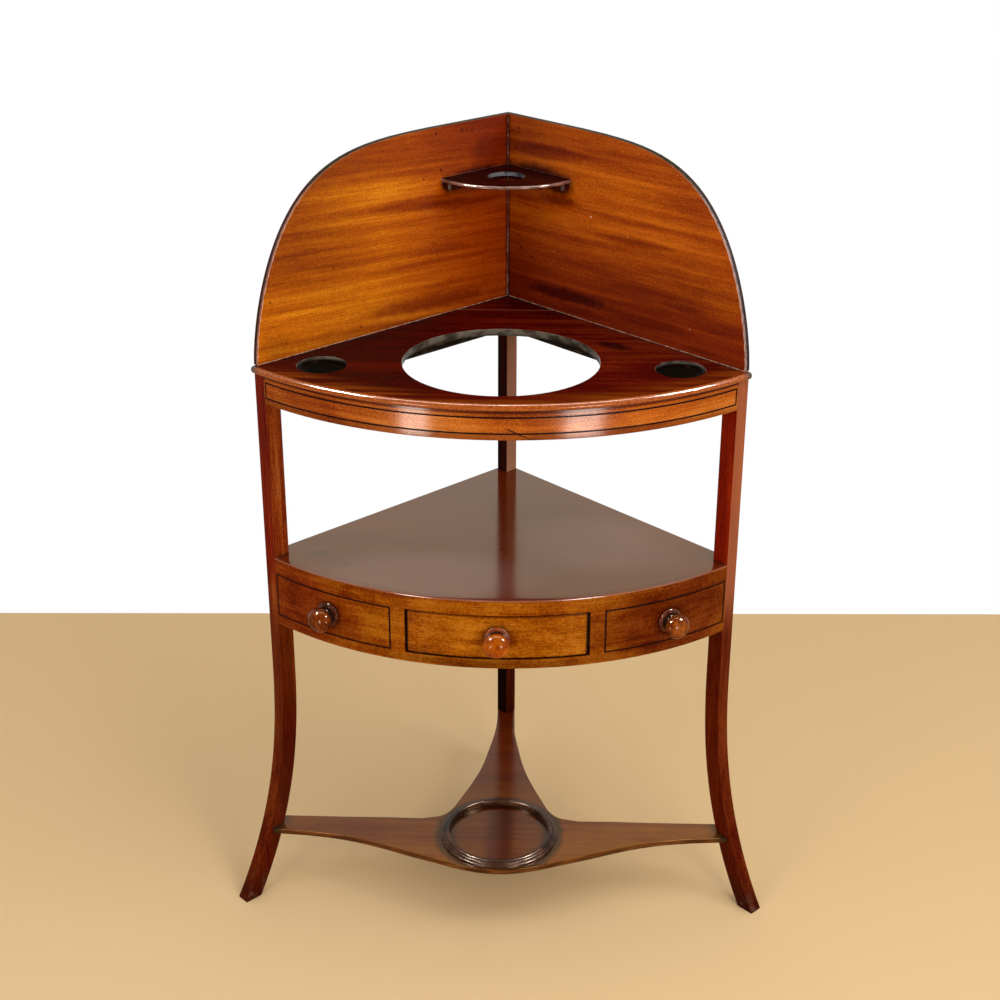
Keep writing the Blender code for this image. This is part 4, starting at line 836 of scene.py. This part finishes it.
def knob_profile():
    """Base, rolled flange, hollow, neck and flattened ball of a knob."""
    flange = (
        (0.0, 0.0), (0.90, 0.0), (0.95, 0.03), (0.985, 0.12), (1.0, 0.28), (0.995, 0.44), (0.965, 0.58),
        (0.915, 0.67), (0.865, 0.68), (0.835, 0.71), (0.80, 0.80), (0.74, 0.90), (0.66, 0.97), (0.58, 1.02),
    )
    points = [(KNOB_FLANGE_RADIUS * r, KNOB_FLANGE_DEPTH * d) for r, d in flange]
    neck = ((1.06, 0.10), (1.0, 0.35), (1.0, 0.62), (1.06, 0.86))
    points += [(KNOB_NECK_RADIUS * r, KNOB_FLANGE_DEPTH + KNOB_NECK_DEPTH * d) for r, d in neck]
    half = KNOB_BALL_DEPTH / 2
    middle = KNOB_FLANGE_DEPTH + KNOB_NECK_DEPTH + half
    start = math.asin(KNOB_NECK_RADIUS * 1.12 / KNOB_BALL_RADIUS)
    for i in range(BALL_STEPS):
        turn = start + (math.pi - start) * i / BALL_STEPS
        points.append((KNOB_BALL_RADIUS * math.sin(turn), middle - half * math.cos(turn)))
    points.append((0.0, middle + half))
    return points


def make_knob(node, body, tones):
    """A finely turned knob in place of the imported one."""
    centre, angle = knob_centre(node)
    outward = Vector((math.sin(angle), -math.cos(angle), 0))
    seat = bow_point(angle, centre.z)
    finish = knob_finish(node + "_mahogany", tones, (centre.x * 90, 1.1, 2.3), seat, outward)
    low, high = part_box(node)
    foot = bow_point(angle, (low.z + high.z) / 2, BOW_RADIUS + KNOB_GAP)
    turn = Matrix((Z_AXIS.cross(outward), Z_AXIS, outward)).transposed().to_4x4()
    shape = turned_shape(knob_profile(), KNOB_STEPS, Matrix.Translation(foot) @ turn)
    made = piece(node + "_turned", shape, finish, body)
    made.data.set_sharp_from_angle(angle=math.radians(60))
    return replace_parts(made, node)


def make_ring(material):
    """The ewer ring with its two beads and outer fillet, turned finely from its inner to its outer foot."""
    shares = (
        (0.00, 0.00), (0.00, 0.62), (0.01, 0.76), (0.05, 0.88), (0.12, 0.965), (0.21, 1.00), (0.30, 0.98),
        (0.38, 0.90), (0.43, 0.80), (0.455, 0.70), (0.48, 0.70), (0.51, 0.76), (0.57, 0.795), (0.64, 0.77),
        (0.69, 0.70), (0.715, 0.58), (0.725, 0.47), (0.75, 0.435), (0.80, 0.45), (0.87, 0.43), (0.93, 0.36),
        (0.97, 0.25), (0.99, 0.12), (1.00, 0.00),
    )
    low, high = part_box("ewer_ring")
    outer = (high.x - low.x) / 2
    middle = (low + high) / 2
    profile = [(outer - RING_WIDTH * (1 - across), (high.z - low.z) * up) for across, up in shares]
    place = Matrix.Translation((middle.x, middle.y, low.z))
    shape = turned_shape(profile, RING_STEPS, place, closed=True)
    made = piece("ewer_ring_turned", shape, material, "stand")
    made.data.set_sharp_from_angle(angle=math.radians(50))
    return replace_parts(made, "ewer_ring")


def make_camera():
    """The photograph's camera."""
    turn = Matrix.Rotation(-CAMERA_YAW, 4, "Z") @ Matrix.Rotation(math.pi / 2 - CAMERA_PITCH, 4, "X")
    turn = turn @ Matrix.Rotation(CAMERA_ROLL, 4, "Z")
    data = bpy.data.cameras.new("camera")
    data.lens = CAMERA_LENS
    data.sensor_width = CAMERA_SENSOR
    data.sensor_fit = "HORIZONTAL"
    camera = bpy.data.objects.new("camera", data)
    camera.matrix_world = Matrix.Translation(Vector(CAMERA_PLACE)) @ turn
    bpy.context.scene.collection.objects.link(camera)
    bpy.context.scene.camera = camera


def make_lamp(name, azimuth, elevation, distance, width, height, power, aim):
    """A rectangular lamp, placed by angles in degrees, that faces a point and isn't seen by the camera."""
    azimuth, elevation = math.radians(azimuth), math.radians(elevation)
    data = bpy.data.lights.new(name, "AREA")
    data.shape = "RECTANGLE"
    data.size = width
    data.size_y = height
    data.energy = power
    lamp = bpy.data.objects.new(name, data)
    level = distance * math.cos(elevation)
    place = Vector((level * math.sin(azimuth), -level * math.cos(azimuth), distance * math.sin(elevation)))
    lamp.location = Vector(aim) + place
    lamp.rotation_euler = (-place).to_track_quat("-Z", "Y").to_euler()
    lamp.visible_camera = False
    bpy.context.scene.collection.objects.link(lamp)
    return lamp


def make_stage():
    """Plain pale floor up to the wall line."""
    shape = bmesh.new()
    corners = ((-FLOOR_REACH, -FLOOR_REACH), (FLOOR_REACH, -FLOOR_REACH),
               (FLOOR_REACH, FLOOR_BACK_Y), (-FLOOR_REACH, FLOOR_BACK_Y))
    shape.faces.new([shape.verts.new((x, y, 0)) for x, y in corners])
    mesh = bpy.data.meshes.new("floor")
    shape.to_mesh(mesh)
    shape.free()
    floor = bpy.data.objects.new("floor", mesh)
    floor.rotation_euler.z = -CAMERA_YAW
    bpy.context.scene.collection.objects.link(floor)
    coat = Coat("floor")
    coat.surface.inputs["Roughness"].default_value = 0.7
    coat.surface.inputs["Specular IOR Level"].default_value = 0.1
    coat.colour = FLOOR_COLOUR
    mesh.materials.append(coat.painted())


def make_surroundings():
    """White for the camera. In gloss, a white wall behind, light on the right and a dim room in front."""
    world = bpy.data.worlds.new("studio")
    bpy.context.scene.world = world
    tree = Tree(world)
    parts = tree.parts(tree.add("TexCoord").outputs["Generated"])
    wall = tree.limits(parts["Y"], -0.35, 0.05, ROOM_GLOSS, 1.0)
    right = tree.limits(parts["X"], 0.35, 0.85, ROOM_GLOSS, RIGHT_GLOSS)
    rays = tree.add("LightPath").outputs
    level = tree.change(rays["Is Glossy Ray"], WORLD_LIGHT, tree.math("MAXIMUM", wall, right))
    background = tree.nodes["Background"].inputs
    tree.put(background["Strength"], tree.change(rays["Is Camera Ray"], level, 1.0))
    background["Color"].default_value = (1, 1, 1, 1)


def make_lamps():
    """Soft lamps that light the stand, and small ones that only its gloss shows."""
    middle, low, knob, nose = (0, 0, 0.7), (0, 0, 0.25), (0, -0.22, 0.48), (0, -0.20, 0.78)
    soft = (
        ("key", 29, 15, 2.6, 0.8, 1.9, 24, middle),
        ("fill", -34, 15, 2.6, 0.8, 1.9, 13, middle),
        ("broad", 60, 55, 3.0, 2.2, 2.2, 30, middle),
    )
    for row in soft:
        make_lamp(*row).visible_glossy = False
    glints = (
        ("low_left", -30.3, 0, 1.72, 0.28, 0.50, 10.5, low),
        ("low_right", 27.6, 0, 1.71, 0.38, 0.50, 15.0, low),
        ("overhead_left", -75, 72, 1.30, 0.30, 0.9, 20, nose),
        ("overhead_right", 75, 73, 1.30, 0.30, 0.9, 20, nose),
        ("side_left", -71, 43, 1.9, 0.42, 0.42, 300, knob),
        ("side_right", 76, 39, 1.9, 0.42, 0.42, 300, knob),
    )
    for row in glints:
        make_lamp(*row).visible_diffuse = False


def make_finishes():
    """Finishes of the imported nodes, which the finer boards take over."""
    left = ((0.32, 0.057, 0.0008), (0.505, 0.119, 0.0012), (0.70, 0.219, 0.006))
    right = ((0.235, 0.027, 0.0006), (0.39, 0.067, 0.0009), (0.58, 0.132, 0.005))
    give(["splashback_left"], splash_finish("left", left, math.radians(3.5), (3.1, 1.7, 0.4),
                                            (0.330, 0.150, 0.095), (0.050, 0.008, 0.004)))
    give(["splashback_right"], splash_finish("right", right, math.radians(1.5), (8.3, 5.2, 2.9),
                                             (0.300, 0.220, 0.200), (0.040, 0.022, 0.022)))
    give(["top_board", "top_board_rear"], top_finish("top_mahogany"))
    make_front_finishes()
    post = ((0.095, 0.004, 0.0008), (0.200, 0.030, 0.003), (0.310, 0.075, 0.012))
    for name, seed in (("front_leg_left", 1.0), ("front_leg_right", 4.0)):
        give([name], leg_finish(name + "_mahogany", post, (seed, 2 * seed, 3 * seed)))
    give(["back_leg"], back_post_finish("back_leg_mahogany", post, (7.0, 14.0, 21.0)))
    rail = ((0.005, 0.003, 0.002), (0.018, 0.010, 0.007), (0.070, 0.050, 0.036))
    for side in WALLS:
        rails = [f"upper_back_rail_{side}", f"lower_back_rail_{side}"]
        give(rails, wall_rail_finish(side, rail, (2.0, 1.0, 3.0)))
    shelf = ((0.105, 0.009, 0.0006), (0.122, 0.013, 0.0008), (0.142, 0.020, 0.002))
    give(["shelf_board"], shelf_finish("shelf_mahogany", shelf, (4.4, 0.3, 1.1)))
    low = ((0.115, 0.018, 0.0005), (0.175, 0.040, 0.001), (0.240, 0.072, 0.002))
    give(["stretcher"], stretcher_finish("stretcher_mahogany", low, (9.4, 3.3, 2.1)))
    bearer = flat_board("soap_mahogany", SOAP_TONES, SOAP_OFFSET, roughness=0.2, specular=0.30)
    give(["soap_bearer_left", "soap_bearer_right"], bearer.painted())
    give(["soap_shelf"], soap_finish("soap_shelf_mahogany", 0.01))
    lining = lining_finish("lining_front_to_back", Y_AXIS, (1.0, 2.0, 5.0))
    give([f"drawer_{part}_{side}" for part in ("runner", "guide", "kicker", "stop", "side")
          for side in WALLS], lining)
    give(["drawer_back", "drawer_bottom"], lining_finish("lining_across", X_AXIS, (6.0, 1.0, 2.0)))
    give(["apron_stringing", "frieze_stringing_left", "frieze_stringing_right"],
         stringing_finish("black_stringing"))
    for name in NODES:
        soften(NODES[name])


def make_front_finishes():
    """Apron, frieze and drawer front, with marks and dots at (arc, height) places."""
    tones = ((0.190, 0.022, 0.001), (0.40, 0.088, 0.005), (0.58, 0.180, 0.024))
    marks = (
        ((0.023, 0.758), (0.022, 0.0016), 0.95, (0.10, 0.04, 0.04), -0.44),
        ((0.045, 0.7500), (0.016, 0.0030), 0.7, (0.35, 0.22, 0.2)),
        ((-0.24, 0.772), (0.10, 0.030), 0.6, (0.80, 0.62, 0.6)),
        ((0.20, 0.772), (0.08, 0.020), 0.6, (1.05, 0.95, 0.9)),
        ((0.0, 0.7500), (0.60, 0.0110), 0.9, (0.46, 0.34, 0.3)),
        # Painted shadow of the nose's overhang: a thin dark line just below it.
        ((0.0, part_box("upper_apron")[1].z - 0.0026), (2.0, 0.0024), 0.9, (0.22, 0.06, 0.06)),
    )
    dots = ((0.0748, 0.7571, 0.0010), (0.0700, 0.7585, 0.0008), (0.083, 0.7560, 0.0006),
            (-0.112, 0.7520, 0.0010))
    give(["upper_apron"], front_finish(
        "apron_mahogany", tones, (0.7, 2.2, 4.0), marks, dots, (), ("apron_stringing",), ribbon=0.4,
        streak=0.45, streak_size=(9, 190, 190), mottle=0.75, mottle_size=(360, 620, 620), cloud=0.8,
        cloud_size=(9, 12, 12), thread=0.2, pore=0.25, pore_size=(200, 700, 700), roughness=0.15,
        specular=0.21, specular_tint=(1.0, 0.90, 0.80), bump=0.02, grime_reach=0.008))
    tones = ((0.145, 0.020, 0.0006), (0.260, 0.060, 0.001), (0.38, 0.120, 0.006))
    marks = (
        ((-0.30, 0.475), (0.14, 0.090), 1.0, (0.68, 0.37, 0.75)),
        ((-0.215, 0.455), (0.05, 0.030), 0.6, (0.60, 0.40, 0.7)),
        ((0.25, 0.475), (0.17, 0.100), 1.0, (0.44, 0.26, 0.6)),
        ((0.0, 0.434), (0.20, 0.008), 0.9, (0.56, 0.62, 1.3)),
    )
    dots = ((-0.2900, 0.4600, 0.0008), (0.2450, 0.4420, 0.0008))
    give(["frieze_front"], front_finish(
        "frieze_mahogany", tones, FRIEZE_OFFSET, marks, dots, ("dummy_knob_left", "dummy_knob_right"),
        ("frieze_stringing_left", "frieze_stringing_right"), ribbon=0.7, streak=0.45, mottle=0.65,
        mottle_size=(330, 260, 260), cloud=0.9, cloud_size=(16, 30, 30), pore=0.2,
        pore_size=(380, 190, 190), roughness=0.18, specular=0.05, specular_tint=(1.0, 0.75, 0.45),
        grime_reach=0.007))
    tones = ((0.160, 0.028, 0.0004), (0.285, 0.070, 0.001), (0.440, 0.145, 0.008))
    low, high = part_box("drawer_front")
    half = bow_arc(high.x)
    marks = (
        # The next four marks are painted shade that widens the gaps round the drawer.
        ((0.0, low.z), (2.0, 0.0038), 1.0, (0.03, 0.02, 0.1)),
        ((0.0, high.z), (2.0, 0.0034), 0.8, (0.25, 0.12, 0.1)),
        ((-half, 0.472), (0.0030, 0.400), 1.0, (0.08, 0.04, 0.1)),
        ((half, 0.472), (0.0042, 0.400), 1.0, (0.04, 0.03, 0.1)),
        ((-0.09, 0.470), (0.05, 0.040), 0.5, (0.85, 0.72, 0.8)),
        ((0.095, 0.470), (0.04, 0.030), 0.4, (0.85, 0.80, 0.8)),
    )
    give(["drawer_front"], front_finish(
        "drawer_mahogany", tones, (2.7, 7.2, 3.0), marks, (), ("drawer_knob",), ribbon=0.4, streak=0.4,
        mottle=0.75, mottle_size=(300, 420, 420), thread=0.5, thread_size=(90, 900, 900), cloud=0.9,
        cloud_size=(16, 40, 40), pore=0.15, pore_size=(120, 700, 700), roughness=0.18,
        specular_tint=(1.0, 0.80, 0.50), grime_reach=0.006))


def finish_of(node):
    return NODES[node].data.materials[0]


def bow_distance(point):
    return math.hypot(point.x, point.y - BOW_CENTRE_Y)


def wall_gap(point):
    """Plan distance in front of the nearer wall."""
    return (CORNER_Y - point.y - abs(point.x)) / math.sqrt(2)


def hole_rim(point):
    """True on the rims of the basin hole and the beaker holes."""
    return wall_gap(point) > 0.006 and bow_distance(point) < BOW_RADIUS - 0.01 and point.y < CORNER_Y - 0.09


def rounded_nose(face):
    """1 on the nose of the top, 0 elsewhere."""
    return int(bow_distance(face.calc_center_median()) > BOW_RADIUS + 0.0010)


def front_lip(point):
    """True on the upper front edge of the frieze."""
    return bow_distance(point) > BOW_RADIUS - 0.0008 and point.z > FRIEZE_TOP_Z - 0.0002


def lip_or_level(face):
    """2 on the rounded lip of the frieze, 1 on the level behind it, 0 elsewhere."""
    if face.calc_center_median().z < FRIEZE_TOP_Z - LIP_ROUNDING or face.normal.z < 0.12:
        return 0
    return 1 if face.normal.z > 0.995 else 2


def clear_of_walls(point):
    """True where the soap shelf stands out of its housings."""
    return wall_gap(point) > 0.003


def soap_bead(face):
    """1 on the sides of the soap shelf, 0 on its top and in its hole."""
    middle = face.calc_center_median()
    away = math.hypot(middle.x, middle.y - CORNER_Y + SOAP_HOLE_SETBACK)
    return int(face.normal.z < 0.9 and away > 0.032)


def make_fine_boards():
    """Boards whose arrises, nose or bead need a second finish."""
    nose = (finish_of("top_board"), top_finish("top_nose_mahogany", 0.14, 0.4, (1.0, 0.95, 0.88)))
    refined("top_board", "top_board_rounded", nose, rounded_nose, 0.0006, hole_rim)
    tones = ((0.14, 0.022, 0.006), (0.24, 0.055, 0.020), (0.34, 0.110, 0.050))
    lip = front_finish("frieze_lip_mahogany", tones, FRIEZE_OFFSET, roughness=0.15, specular=0.90,
                       specular_tint=(1.0, 0.94, 0.86), bump=0.0, grime=0.0)
    lipped = (finish_of("frieze_front"), finish_of("shelf_board"), lip)
    refined("frieze_front", "frieze_front_lipped", lipped, lip_or_level, LIP_ROUNDING, front_lip)
    beaded = (finish_of("soap_shelf"), soap_finish("soap_bead_mahogany", 0.4))
    refined("soap_shelf", "soap_shelf_beaded", beaded, soap_bead, 0.0004, clear_of_walls)


def make_fine_pieces():
    """Turned pieces that replace the plainer packed ones."""
    orange = ((0.22, 0.034, 0.001), (0.36, 0.072, 0.001), (0.48, 0.115, 0.003))
    brown = ((0.040, 0.003, 0.0005), (0.110, 0.016, 0.001), (0.220, 0.045, 0.005))
    warm = ((0.065, 0.007, 0.0008), (0.160, 0.030, 0.002), (0.300, 0.075, 0.008))
    make_knob("drawer_knob", "drawer", orange)
    make_knob("dummy_knob_left", "stand", brown)
    make_knob("dummy_knob_right", "stand", warm)
    tones = ((0.010, 0.003, 0.001), (0.034, 0.010, 0.004), (0.090, 0.034, 0.016))
    ring = flat_board("ring_mahogany", tones, (3.4, 8.3, 5.1), ribbon_size=(20, 20, 20), roughness=0.22,
                      specular=0.20, specular_tint=(1.0, 0.74, 0.58), grime_reach=0.006, wear=0.6,
                      wear_colour=(0.17, 0.07, 0.04))
    make_ring(ring.painted())


bpy.context.scene.view_settings.view_transform = "Standard"
make_camera()
make_stage()
make_surroundings()
make_lamps()
make_finishes()
make_fine_boards()
make_fine_pieces()
